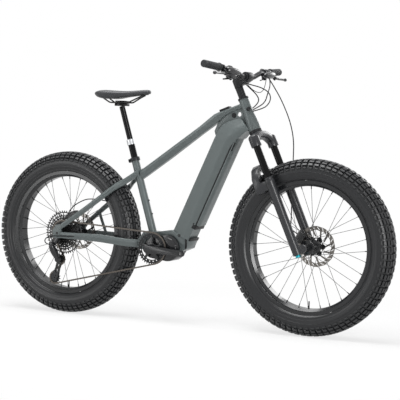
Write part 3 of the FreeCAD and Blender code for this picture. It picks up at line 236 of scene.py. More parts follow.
def teal():
    """Teal anodised aluminium of the rebound knob: a coloured metal shine."""
    return finish("teal_anodised_aluminium", colours().knob, 0.3, 0.6, 0.5, 0.03, 0.05)


def saddle_skin():
    """Matt synthetic leather with a pebble grain, drawn coarse enough to show."""
    return finish("black_saddle_leather", "#2e2f32", 0.45, 0.0, 2.2, 0.25, 0.12, Specular_IOR_Level=0.5)


# Building helpers

def at(x, y, z):
    return Vector((x, y, z)) * MM


def piece(bm, name, body, material, stands_for=(), smooth=32, turn_out=True):
    """A finished mesh as an object that rides on a body."""
    if turn_out:
        bmesh.ops.recalc_face_normals(bm, faces=bm.faces)
    mesh = bpy.data.meshes.new(name)
    bm.to_mesh(mesh)
    bm.free()
    mesh.materials.append(material)
    mesh.polygons.foreach_set("use_smooth", [True] * len(mesh.polygons))
    mesh.set_sharp_from_angle(angle=math.radians(smooth))
    made = bpy.data.objects.new(name, mesh)
    bpy.context.scene.collection.objects.link(made)
    if body:
        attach(made, body)
    if stands_for:
        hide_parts(*stands_for)
    return made


def coat(material, *names):
    """Gives CAD nodes a material."""
    for name in names:
        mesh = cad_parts[name].data
        mesh.materials.clear()
        mesh.materials.append(material)


def islands(bm):
    """The separate solids of a mesh, as lists of vertices, in the mesh's own order."""
    seen = set()
    for first in bm.verts:
        if first in seen:
            continue
        seen.add(first)
        group = [first]
        for v in group:
            for edge in v.link_edges:
                other = edge.other_vert(v)
                if other not in seen:
                    seen.add(other)
                    group.append(other)
        yield group


def middle_of(verts):
    return sum((v.co for v in verts), Vector()) / len(verts)


def edges_of(verts):
    """The edges at some vertices, each once and in a steady order."""
    return list(dict.fromkeys(e for v in verts for e in v.link_edges))


def fill_holes(bm):
    bmesh.ops.holes_fill(bm, edges=[e for e in bm.edges if e.is_boundary], sides=0)


def middle_of_box(name):
    low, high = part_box(name)
    return (low + high) / 2


def pin(bm, spot, radius, length, segments):
    """A closed round pin along Y, in metres."""
    bmesh.ops.create_cone(bm, cap_ends=True, segments=segments, radius1=radius, radius2=radius, depth=length,
                          matrix=Matrix.Translation(spot) @ ALONG_Y)


def block(bm, place, *size):
    """A box of the given size in millimetres."""
    bmesh.ops.create_cube(bm, size=1.0, matrix=place @ Matrix.Diagonal((*at(*size), 1)))


def cad_copy(name, keep=None):
    """A merged copy of a CAD node, or of those of its solids that the test keeps."""
    bm = bmesh.new()
    bm.from_mesh(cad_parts[name].data)
    bmesh.ops.remove_doubles(bm, verts=bm.verts, dist=2e-6)
    if keep:
        away = [v for group in islands(bm) if not keep(middle_of(group)) for v in group]
        bmesh.ops.delete(bm, geom=away, context="VERTS")
    return bm


def trim(bm, spot, out, wanted=None):
    """Cuts each solid of a mesh off beyond a plane and closes it, or only the solids that the test names."""
    for group in list(islands(bm)):
        if wanted and not wanted(middle_of(group)):
            continue
        geom = [*group, *edges_of(group), *dict.fromkeys(f for v in group for f in v.link_faces)]
        cut = bmesh.ops.bisect_plane(bm, geom=geom, dist=1e-6, plane_co=spot, plane_no=out, clear_outer=True)
        edges = [g for g in cut["geom_cut"] if isinstance(g, bmesh.types.BMEdge)]
        if edges:
            bmesh.ops.triangle_fill(bm, use_beauty=True, edges=edges)


# Faces closer than the first angle count as one flat, and edges beyond the second are rounded
FLAT = math.radians(1.5)
SHARP = math.radians(35)


def bevel(bm, edges, width, segments):
    bmesh.ops.bevel(bm, geom=edges, offset=width * MM, offset_type="OFFSET", affect="EDGES",
                    segments=segments, profile=0.5, material=-1, clamp_overlap=True)


def soften(bm, width, segments=2):
    """Rounds the sharp edges of a copied solid."""
    bmesh.ops.dissolve_limit(bm, angle_limit=FLAT, verts=bm.verts, edges=bm.edges)
    bevel(bm, [e for e in bm.edges if e.is_manifold and e.calc_face_angle(0) > SHARP], width, segments)
    fill_holes(bm)
    return bm


def inflate(bm, reach):
    """Moves a mesh out along its normals, in millimetres."""
    bm.normal_update()
    for v in bm.verts:
        v.co += v.normal * reach * MM


def softened(name, body, material, width):
    """A CAD node shown with its edges rounded."""
    return piece(soften(cad_copy(name), width), f"{name}_soft", body, material, [name], 30)


def squarish(x, y, power):
    """A point of the unit circle pushed towards a square with round corners."""
    return (math.copysign(abs(x) ** (2 / power), x), math.copysign(abs(y) ** (2 / power), y))


def loft(bm, stations, count):
    """Rings bridged in turn and closed at both ends; a station places a point of the unit circle."""
    rings = []
    for place in stations:
        verts = bmesh.ops.create_circle(bm, segments=count, radius=1.0)["verts"]
        rings.append(edges_of(verts))
        for v in verts:
            v.co = place(v.co.x, v.co.y)
    for here, there in zip(rings, rings[1:]):
        bmesh.ops.bridge_loops(bm, edges=here + there)
    for end in (rings[0], rings[-1]):
        bmesh.ops.edgeloop_fill(bm, edges=end)


def around(corners, x, y):
    """A point on a closed outline, from a point of the unit circle."""
    share = math.atan2(y, x) / (2 * math.pi) % 1 * len(corners)
    k = int(share + 1e-6)
    here, there = corners[k % len(corners)], corners[(k + 1) % len(corners)]
    return [a + (b - a) * (share - k) for a, b in zip(here, there)]


def section(low, high, left, right, corners):
    """A station between two points and two sides, all vectors, with the outline given by its corners."""
    middle = (low + high) / 2
    up = (high - low) / 2
    side = (left - right) / 2
    shift = (left + right) / 2 - middle
    shift -= up * (shift.dot(up) / up.length_squared)

    def place(x, y):
        x, y = around(corners, x, y)
        return middle + shift + side * x + up * y
    return place


def pierced(bm, loops, low, high):
    """A flat sheet across Y from an outline and its holes, each a list of (x, z) in metres."""
    edges = []
    for points in loops:
        verts = [bm.verts.new((x, low, z)) for x, z in points]
        edges += [bm.edges.new((a, b)) for a, b in zip(verts, verts[1:] + verts[:1])]
    filled = bmesh.ops.triangle_fill(bm, use_beauty=True, edges=edges)["geom"]
    thicken(bm, [g for g in filled if isinstance(g, bmesh.types.BMFace)], high - low)


def thicken(bm, faces, depth):
    """Draws faces out along Y."""
    out = bmesh.ops.extrude_face_region(bm, geom=faces)["geom"]
    bmesh.ops.translate(bm, vec=(0, depth, 0), verts=[g for g in out if isinstance(g, bmesh.types.BMVert)])


def turns(count, start=0.0):
    """Angles in even steps once round; the start is in steps."""
    return [2 * math.pi * (k + start) / count for k in range(count)]


def round_loop(x, z, radius, count):
    return [(x + radius * math.cos(a), z + radius * math.sin(a)) for a in turns(count)]


def polar(centre, radius, angle):
    return centre.x + radius * math.cos(angle), centre.z + radius * math.sin(angle)


def spline_points(points):
    """Points along the smooth line that a route's points control."""
    curve = bpy.data.curves.new("route", "CURVE")
    curve.dimensions = "3D"
    curve.resolution_u = 8
    line = curve.splines.new("NURBS")
    line.points.add(len(points) - 1)
    for spot, place in zip(line.points, points):
        spot.co = (*place, 1)
    line.order_u = 3
    line.use_endpoint_u = True
    holder = bpy.data.objects.new("route", curve)
    mesh = bpy.data.meshes.new_from_object(holder)
    path = [v.co.copy() for v in mesh.vertices]
    bpy.data.objects.remove(holder)
    bpy.data.curves.remove(curve)
    bpy.data.meshes.remove(mesh)
    return path


def tube(bm, path, radius, count=12):
    """A round tube along a path."""
    stations = []
    side = (path[1] - path[0]).orthogonal().normalized()
    for k, spot in enumerate(path):
        way = (path[min(k + 1, len(path) - 1)] - path[max(k - 1, 0)]).normalized()
        side = (side - way * side.dot(way)).normalized()
        across = way.cross(side)
        stations.append(lambda x, y, p=spot, a=side, b=across: p + (a * x + b * y) * radius)
    loft(bm, stations, count)


def rounded(bm, path, radii, count=14):
    """A round body along a path with a radius in millimetres at each of its points."""
    way = (path[-1] - path[0]).normalized()
    side = way.orthogonal().normalized()
    across = way.cross(side)

    def ring(spot, radius):
        return lambda x, y: spot + (side * x + across * y) * radius
    loft(bm, [ring(spot, r * MM) for spot, r in zip(path, radii)], count)


# Wheels

# The casing's half section from crown to bead, as (y, radius)
CASING = [(0, 376), (12, 375.8), (22, 374), (32, 370), (41, 363.5), (48, 354.5), (52.5, 344), (54.6, 333),
          (54.2, 322), (51.5, 311), (47.5, 301), (43.5, 295.5), (40.5, 292.6)]


def casing_at(along):
    """A point of the casing's section and its outward direction, at a length from the crown."""
    sign = math.copysign(1, along)
    left = abs(along)
    for (y, r), (y2, r2) in zip(CASING, CASING[1:]):
        run = math.hypot(y2 - y, r2 - r)
        if left <= run:
            share = left / run
            out = Vector((sign * (r - r2), y2 - y)).normalized()
            return Vector((sign * (y + (y2 - y) * share), r + (r2 - r) * share)), out
        left -= run
    raise ValueError("beyond the casing")


# Tread rows on each side: length from the crown, block length and width, phase, share of full height
KNOB_ROWS = ((7.6, 24, 13, 0.0, 1), (22.5, 23, 13, 0.5, 1), (37.4, 25, 13, 0.0, 1), (52, 23, 13, 0.5, 0.85),
             (65.5, 18, 10, 0.0, 0.5))
# How deep a block's foot stands in the casing, its chamfer and how far it draws in; the casing's inner wall
# as a scale about a radius; the ribs on the side wall as (y, radius) and their section
KNOB_ROOT = 1.5
KNOB_CHAMFER = 1.3
KNOB_TAPER = 0.9
CASING_MIDDLE = 329
CASING_INNER = 0.95
WALL_RIBS = ((55.2, 328), (52.6, 314), (48.6, 301))
RIB = ((-2, -1.2), (-1, 0), (1, 0), (2, -1.2), (-2, -1.2))


def knob(bm, wheel, angle, along, length, width, height):
    """One tread block, square to the casing and drawn in towards its top; gives back its top edges."""
    spot, out = casing_at(along)
    radial = Vector((math.cos(angle), 0, math.sin(angle)))
    across = Vector((0, 1, 0))
    up = (across * out.x + radial * out.y).normalized()
    way = Vector((-math.sin(angle), 0, math.cos(angle)))
    side = up.cross(way)
    foot = wheel + (across * spot.x + radial * spot.y) * MM
    turn = Matrix((way, side, up)).transposed().to_4x4()
    grow = Matrix.Diagonal((length * MM, width * MM, (height + KNOB_ROOT) * MM, 1))
    place = Matrix.Translation(foot + up * (height - KNOB_ROOT) / 2 * MM)
    cube = bmesh.ops.create_cube(bm, size=1.0, matrix=place @ turn @ grow)
    middle = foot + up * height * MM
    tops = [v for v in cube["verts"] if (v.co - foot).dot(up) > 0]
    for v in tops:
        v.co = middle + (v.co - middle) * KNOB_TAPER
    return [e for e in edges_of(tops) if e.verts[0] in tops and e.verts[1] in tops]


class BIKE_OT_tyres(bpy.types.Operator):
    """Fat tyres with a knobbly tread and bare side walls"""
    bl_idname = "bike.tyres"
    bl_label = "Tyres"

    def execute(self, context):
        count = sizes().knob_pitches
        tall = sizes().knob_height
        for end, wheel in WHEELS.items():
            bm = bmesh.new()
            profile = [(-y, r) for y, r in reversed(CASING[1:])] + CASING
            inside = [(CASING_INNER * y, CASING_MIDDLE + CASING_INNER * (r - CASING_MIDDLE))
                      for y, r in reversed(profile)]
            self.spun(bm, wheel, profile + inside + profile[:1], 144)
            for y, r in WALL_RIBS:
                for side in (1, -1):
                    self.spun(bm, wheel, [(side * (y + dy), r + dr) for dr, dy in RIB], 96)
            bmesh.ops.remove_doubles(bm, verts=bm.verts, dist=1e-6)
            piece(bm, f"{end}_tyre_casing", f"{end}_wheel", wall_rubber(), (), 38)
            bm = bmesh.new()
            rims = []
            for row, (along, length, width, phase, rise) in enumerate(KNOB_ROWS):
                for side in (1, -1):
                    shift = phase + (0.5 if side < 0 and row % 2 == 0 else 0.0)
                    for k, angle in enumerate(turns(count, shift)):
                        share = 1 if (k + row) % 2 else 0.9
                        rims += knob(bm, wheel, angle, side * along, length * share, width * (1.9 - share),
                                     tall * rise)
            bevel(bm, rims, KNOB_CHAMFER, 1)
            piece(bm, f"{end}_tyre_tread", f"{end}_wheel", rubber(), [f"{end}_tyre"], 20)
        return {"FINISHED"}

    def spun(self, bm, wheel, profile, steps):
        """A section spun round the axle."""
        verts = [bm.verts.new(wheel + at(r, y, 0)) for y, r in profile]
        edges = [bm.edges.new(pair) for pair in zip(verts, verts[1:])]
        bmesh.ops.spin(bm, geom=verts + edges, cent=wheel, axis=(0, 1, 0), angle=2 * math.pi, steps=steps,
                       use_merge=True)


# The track's outer and inner edge as mean radius and wave, its drilled holes as radius, lean and size, the
# arms' corners as radius and turn, and the carrier's star, bore and holes
TRACK_EDGES = ((89.2, 0.8), (71.5, 1.5))
TRACK_HOLES = ((76.2, -0.05, 2.3), (80.4, 0.0, 2.6), (84.8, 0.05, 2.3))
ROTOR_ARM = ((44, -0.07), (72.5, 0.16), (72.5, 0.27), (44, 0.1))
ARMS = 12
STAR = (40, 6, 6)
CARRIER_BORE = 15.2
CARRIER_HOLES = (31, 5, 6)


def wavy_loop(centre, radius, wave, times, count):
    """A closed line that swings in and out as it goes round."""
    return [polar(centre, (radius + wave * math.cos(times * a)) * MM, a) for a in turns(count)]


def rotor_sheet(bm, centre, low, high, groups):
    """The brake track: wavy inside and outside, with groups of drilled holes."""
    loops = [wavy_loop(centre, radius, wave, groups / 2, groups * 8) for radius, wave in TRACK_EDGES]
    for a in turns(groups, 0.5):
        for radius, lean, size in TRACK_HOLES:
            loops.append(round_loop(*polar(centre, radius * MM, a + lean), size * MM, 8))
    pierced(bm, loops, low, high)


class BIKE_OT_wheels(bpy.types.Operator):
    """Rims, spokes, hubs and drilled brake rotors"""
    bl_idname = "bike.wheels"
    bl_label = "Wheels"

    def execute(self, context):
        for end, wheel in WHEELS.items():
            coat(cast_black(), f"{end}_rim", f"{end}_hub")
            coat(dark_steel(), f"{end}_spokes")
            low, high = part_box(f"{end}_rotor")
            bm = bmesh.new()
            rotor_sheet(bm, wheel, low.y, high.y, sizes().rotor_holes)
            for a in turns(ARMS):
                ends = [polar(wheel, radius * MM, a + lean) for radius, lean in ROTOR_ARM]
                pierced(bm, [ends], low.y + 0.1 * MM, high.y - 0.1 * MM)
            piece(bm, f"{end}_rotor_track", f"{end}_wheel", steel(), [f"{end}_rotor"], 30)
            carrier = bmesh.new()
            loops = [wavy_loop(wheel, *STAR, 96), round_loop(wheel.x, wheel.z, CARRIER_BORE * MM, 32)]
            reach, hole, number = CARRIER_HOLES
            loops += [round_loop(*polar(wheel, reach * MM, a), hole * MM, 10) for a in turns(number, 0.5)]
            pierced(carrier, loops, low.y - 0.7 * MM, high.y + 0.7 * MM)
            piece(carrier, f"{end}_rotor_carrier", f"{end}_wheel", anodised(), (), 30)
        coat(dark_steel(), "rear_axle")
        return {"FINISHED"}


# Drive

# The cassette: teeth from the smallest cog on and the cog that the chain runs on; the chainring's teeth; the
# chain's pitch; the cogs' step, half thickness and bore; the freehub's radius, length and place; the cogs'
# arms from which radius and how wide; the chainring's bore and its holes as radius, size and number
COGS = (11, 13, 15, 17, 19, 22, 25, 28, 32, 36, 42, 50)
RUN_COG = 28
RING_TEETH = 36
PITCH = 12.7
COG_STEP = 3.65
COG_HALF = 0.9
COG_BORE = 16.8
FREEHUB = (16.5, 59, -68.5)
ARM_ROOT = 22
ARM_BAR = 3.0
RING_BORE = 52
RING_HOLES = (59.5, 3.2, 20)
# A tooth's outline as reach beyond the pitch circle and distance aside
TOOTH = ((3, -5.2), (-3.6, -3.2), (-4.2, -1.2), (-4.2, 1.2), (-3.6, 3.2), (3, 5.2))
# Chain plates as inner face, outer face and waist, in turn, then their end radius and the rollers and pins
PLATES = ((1.2, 1.85, 0.8), (1.9, 2.6, 0.72))
PLATE_END = 4.1
ROLLER = (3.6, 2.3)
CHAIN_PIN = (1.7, 5.5)
PEDAL_EYES = ((40.67, 328.32, -101.9, -88.6), (-308.67, 349.68, 88.6, 101.9))
# The derailleur's link body: points and radii
LINK_PATH = ((-655, -116, 332), (-653, -114, 326), (-649, -107, 308), (-643, -97, 288), (-638, -88, 270),
             (-637, -86, 262))
LINK_RADII = (8, 13, 16, 16.5, 14, 9)
# The cage plates: thickness, ends and waist, slots as share, half length and half width, and holes round the
# pulleys
CAGE_PLATE = 2
CAGE_OUTLINE = (15, 19, 11)
CAGE_SLOTS = ((0.33, 13, 5.5), (0.6, 11, 5.5))
SLOT = ((-1, -0.6), (0, -1), (1, -0.6), (1, 0.6), (0, 1), (-1, 0.6))


def pitch_radius(teeth):
    return PITCH / (2 * math.sin(math.pi / teeth))


def toothed_loop(centre, teeth, phase):
    """A sprocket's outline with a tooth gap at the phase angle."""
    radius = pitch_radius(teeth)
    points = []
    for k in range(teeth):
        middle = phase + 2 * math.pi * k / teeth
        for reach, aside in TOOTH:
            points.append(polar(centre, (radius + reach) * MM, middle + aside / radius))
    return points


def window(centre, inside, outside, angle, span, bar):
    """An opening between two arms of a cog, the arms being as wide as the bar."""
    points = []
    for radius, sign in ((inside, 1), (outside, -1)):
        half = span / 2 - bar / 2 / radius
        points += [polar(centre, radius * MM, angle + sign * half * share)
                   for share in (-1, -0.5, 0, 0.5, 1)]
    return points


def dogbone(one, two, first, second, waist):
    """The outline of a cage plate: a round end at each pulley and a drawn-in waist."""
    base = math.atan2(two.z - one.z, two.x - one.x)
    points = []
    for centre, radius, start in ((two, second, -1), (one, first, 1)):
        for lean in range(-120, 121, 30):
            points.append(polar(centre, radius * MM,
                                (base if start < 0 else base + math.pi) + math.radians(lean)))
        side = base + start * -math.pi / 2
        middle = (one + two) / 2
        points.append(polar(middle, waist * MM, side))
    return points


def chain_rollers():
    """The centres of the chain's rollers in order round the loop, read from the CAD chain."""
    bm = cad_copy("chain")
    left = []
    for group in islands(bm):
        low = Vector([min(v.co[i] for v in group) for i in range(3)])
        high = Vector([max(v.co[i] for v in group) for i in range(3)])
        if (high - low).x < 0.02:
            left.append((low + high) / 2)
    bm.free()
    order = [left.pop(0)]
    while left:
        order.append(left.pop(min(range(len(left)), key=lambda i: (left[i] - order[-1]).length)))
    return order


def phase_of(rollers, centre, teeth):
    """The angle of a tooth gap: that of the roller that lies closest to the pitch circle."""
    radius = pitch_radius(teeth) * MM
    held = min(rollers, key=lambda p: abs(math.hypot(p.x - centre.x, p.z - centre.z) - radius))
    return math.atan2(held.z - centre.z, held.x - centre.x)


def side_plate(bm, here, there, low, high, waist):
    """One chain plate: two round ends and a drawn-in waist."""
    way = (there - here).normalized()
    up = Vector((-way.z, 0, way.x))
    half = (there - here).length / 2
    middle = (here + there) / 2
    disc = bmesh.ops.create_circle(bm, segments=14, radius=1.0, cap_ends=True)
    for v in disc["verts"]:
        x, y = v.co.x * PLATE_END * MM, v.co.y * PLATE_END * MM
        reach = half if abs(v.co.x) > 0.2 else 0.0
        y = y if reach else y * waist
        spot = middle + way * (math.copysign(reach, v.co.x) + x if reach else x) + up * y
        v.co = Vector((spot.x, low, spot.z))
    thicken(bm, list(disc["verts"][0].link_faces), high - low)


class BIKE_OT_drive(bpy.types.Operator):
    """Chain, cassette, chainring, cranks and derailleur"""
    bl_idname = "bike.drive"
    bl_label = "Drive"

    def execute(self, context):
        rollers = chain_rollers()
        self.chain(rollers)
        self.cassette(rollers)
        self.cranks(rollers)
        self.derailleur()
        coat(plastic(), "guide_pulley", "tension_pulley")
        coat(dark_steel(), "motor_rotor")
        return {"FINISHED"}

    def chain(self, rollers):
        """Inner and outer links in turn, with a roller and a pin between them."""
        plane = CHAIN_PLANE * MM
        bm = bmesh.new()
        for k, (here, there) in enumerate(zip(rollers, rollers[1:] + rollers[:1])):
            inner, outer, waist = PLATES[k % 2]
            for side in (1, -1):
                side_plate(bm, here, there, plane + side * inner * MM, plane + side * outer * MM, waist)
            for (radius, length), segments in ((ROLLER, 10), (CHAIN_PIN, 8)):
                pin(bm, Vector((here.x, plane, here.z)), radius * MM, length * MM, segments)
        links = piece(bm, "chain_links", None, chain_plate(), ["chain"], 30)
        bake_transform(links)

    def cassette(self, rollers):
        """Twelve cogs, the larger ones cut out between their arms, on a freehub."""
        rear = WHEELS["rear"]
        phase = phase_of(rollers, rear, RUN_COG)
        bm = bmesh.new()
        for k, teeth in enumerate(COGS):
            middle = (CHAIN_PLANE + COG_STEP * (k - COGS.index(RUN_COG))) * MM
            loops = [toothed_loop(rear, teeth, phase), round_loop(rear.x, rear.z, COG_BORE * MM, 24)]
            outer = pitch_radius(teeth) - 7.5
            rows = (teeth >= 25) + (teeth >= 32) + (teeth >= 42)
            for row in range(rows):
                step = (outer - ARM_ROOT) / rows
                inside = ARM_ROOT + step * row
                arms = 8 + 8 * row
                loops += [window(rear, inside + 1.4, inside + step - 1.4, a, 2 * math.pi / arms, ARM_BAR)
                          for a in turns(arms, 0.25 * k)]
            pierced(bm, loops, middle - COG_HALF * MM, middle + COG_HALF * MM)
        radius, length, aside = FREEHUB
        pin(bm, rear + at(0, aside, 0), radius * MM, length * MM, 32)
        piece(bm, "cassette_cogs", "cassette", dark_steel(), ["cassette"], 30)

    def cranks(self, rollers):
        """Chainring, cranks and the raised rings round the pedal eyes."""
        crank = middle_of_box("chainring")
        bm = bmesh.new()
        loops = [toothed_loop(crank, RING_TEETH, phase_of(rollers, crank, RING_TEETH)),
                 round_loop(crank.x, crank.z, RING_BORE * MM, 60)]
        reach, hole, number = RING_HOLES
        loops += [round_loop(*polar(crank, reach * MM, a), hole * MM, 8) for a in turns(number, 0.5)]
        low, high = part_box("chainring")
        pierced(bm, loops, low.y, high.y)
        piece(bm, "chainring_plate", "crank", anodised(), ["chainring"], 30)
        softened("crank_set", "crank", cast_black(), 1.6)
        eyes = bmesh.new()
        for x, z, near, far in PEDAL_EYES:
            pierced(eyes, [round_loop(x * MM, z * MM, r * MM, 32) for r in (14.5, 7.2)], near * MM, far * MM)
        piece(soften(eyes, 1.0), "pedal_eyes", "crank", anodised(), (), 30)

    def derailleur(self):
        """The body with its links, and the slotted cage plates."""
        softened("derailleur_body", "frame", cast_black(), 1.5)
        body = bmesh.new()
        rounded(body, [at(*p) for p in LINK_PATH], LINK_RADII, 24)
        piece(body, "derailleur_links", "frame", cast_black(), (), 30)
        low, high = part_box("derailleur_cage")
        guide, tension = (middle_of_box(f"{n}_pulley") for n in ("guide", "tension"))
        way = (tension - guide).normalized()
        up = Vector((-way.z, 0, way.x))
        bm = bmesh.new()
        for near in (low.y, high.y - CAGE_PLATE * MM):
            loops = [dogbone(guide, tension, *CAGE_OUTLINE)]
            for share, long, wide in CAGE_SLOTS:
                spot = guide.lerp(tension, share)
                corners = [spot + way * a * long * MM + up * b * wide * MM for a, b in SLOT]
                loops.append([(c.x, c.z) for c in corners])
            for spot, radius, number in ((guide, 10, 3), (tension, 13, 5)):
                loops += [round_loop(*polar(spot, radius * MM, a + 0.9), 2.8 * MM, 8) for a in turns(number)]
            pierced(bm, loops, near, near + CAGE_PLATE * MM)
        for spot in (guide, tension):
            pin(bm, Vector((spot.x, (low.y + high.y) / 2, spot.z)), 3 * MM, high.y - low.y, 16)
        piece(bm, "derailleur_cage_plates", "derailleur_cage", cast_black(), ["derailleur_cage"],
              30)


# Frame

# Stations of the top tube: (x, z) of its upper line, of its lower line, and half width
TOP_TUBE = (((-242, 686), (-231, 645), 17), ((-209, 706), (-196, 668), 20), ((-88, 788), (-66, 756), 21),
            ((75, 899), (95, 870), 21), ((122, 935), (146, 904), 21), ((149, 955), (174, 924), 21),
            ((173, 965.5), (190, 938), 21), ((200, 975), (206, 951), 21), ((236, 987.5), (240, 967), 20.5),
            ((268, 999), (268, 977), 20), ((296, 1009), (296, 986), 19))
# Stations of the down tube in its own frame: (q, w) of its back, of its front, and half width
NECK = (((0, 0), (100, 0), 45), ((0, 60), (100, 60), 45), ((0, 250), (100, 250), 45),
        ((0, 470), (100, 470), 45), ((2, 508), (108, 508), 45), ((6, 530), (122, 527), 44.5),
        ((14, 547), (127, 541), 42), ((28, 565), (132, 556), 38), ((50, 586), (137, 568), 32),
        ((75, 605), (141, 580), 26))
# Stations of a chainstay: x, lowest z, highest z, nearest y and farthest y
CHAINSTAY = ((-222, 336, 372, 18, 42), (-240, 338.5, 374, 34, 53), (-262, 341, 376, 55, 74),
             (-290, 344, 379, 64, 86), (-330, 348, 383, 66.5, 88.2), (-400, 354, 389, 70, 92),
             (-470, 358, 390, 80, 99.5), (-530, 360, 390.4, 89, 107), (-604, 363, 391, 98.8, 110))
# Stations of a seatstay: x, nearest y and farthest y
SEATSTAY = ((-232, 6, 24), (-262, 15.5, 34), (-296, 30, 47), (-314, 45, 63), (-332, 60, 78),
            (-400, 65.5, 83.5), (-480, 72, 90), (-540, 84.5, 99.5), (-602, 98, 110))
BRACE = ((-512, 86, 478), (-505, 88, 452), (-492, 89.5, 418), (-480, 90, 388))
# Outlines: the stays and top tube, the down tube as shares of its depth and half width, and the battery
# cover as (q, y)
KEEL = ((1.0, 0.2), (0.94, 0.5), (0.62, 0.94), (0.45, 1.0), (-0.45, 1.0), (-0.62, 0.94), (-0.94, 0.5),
        (-1.0, 0.2), (-0.66, -0.9), (-0.5, -1.0), (0.5, -1.0), (0.66, -0.9))
FACETS = ((0, 0.32), (0.05, 0.56), (0.66, 1.0), (0.72, 1.0), (0.985, 0.86), (0.985, -0.86), (0.72, -1.0),
          (0.66, -1.0), (0.05, -0.56), (0, -0.32))
COVER = ((106, 39.2), (109, 39.5), (114, 33.5), (117, 24), (117, -24), (114, -33.5), (109, -39.5),
         (106, -39.2))

# The down tube's forward direction, and where the cradle and the battery stops end along it
FORWARD = DOWN_TUBE.to_3x3() @ Vector((1, 0, 0))
CRADLE_FRONT = 106
STOP_FRONT = 108
# The black band of painted shade behind the motor's flange, standing in for the shadow in the gap there,
# lies between the first two planes and under the third, each a point and a normal
FLANGE_SHADE_BAND = (((28, 0, 375), (1, 0, 0.06)), ((39, 0, 375), (1, 0, -0.04)), ((30, 0, 412), (-0.3, 0, 1)))
# A bolt head as distance inwards and radius, with its socket
BOLT = ((3, 7), (-1.5, 7), (-2.2, 6.2), (-2.3, 3.6), (0.5, 3.4), (0.6, 0.2))
# Stations of the battery cover as w and inset, then its case and its lock as (q, y, w) and size
COVER_ENDS = ((80.5, 3), (82.5, 0.8), (86, 0), (300, 0), (520, 0), (524.5, 0.8), (526.4, 3))
PACK_CASE = ((81, 0, 301), (56, 76.4, 438))
LOCK = ((110.5, -36.4, 480), (11, 5, 40))


def down_section(back, front, half):
    """A station of the down tube: a narrow back, a flat flank to a ridge, and a face that turns in."""
    back, front = (DOWN_TUBE @ at(q, 0, w) for q, w in (back, front))

    def place(x, y):
        share, wide = around(FACETS, x, y)
        return back + (front - back) * share + at(0, wide * half, 0)
    return place


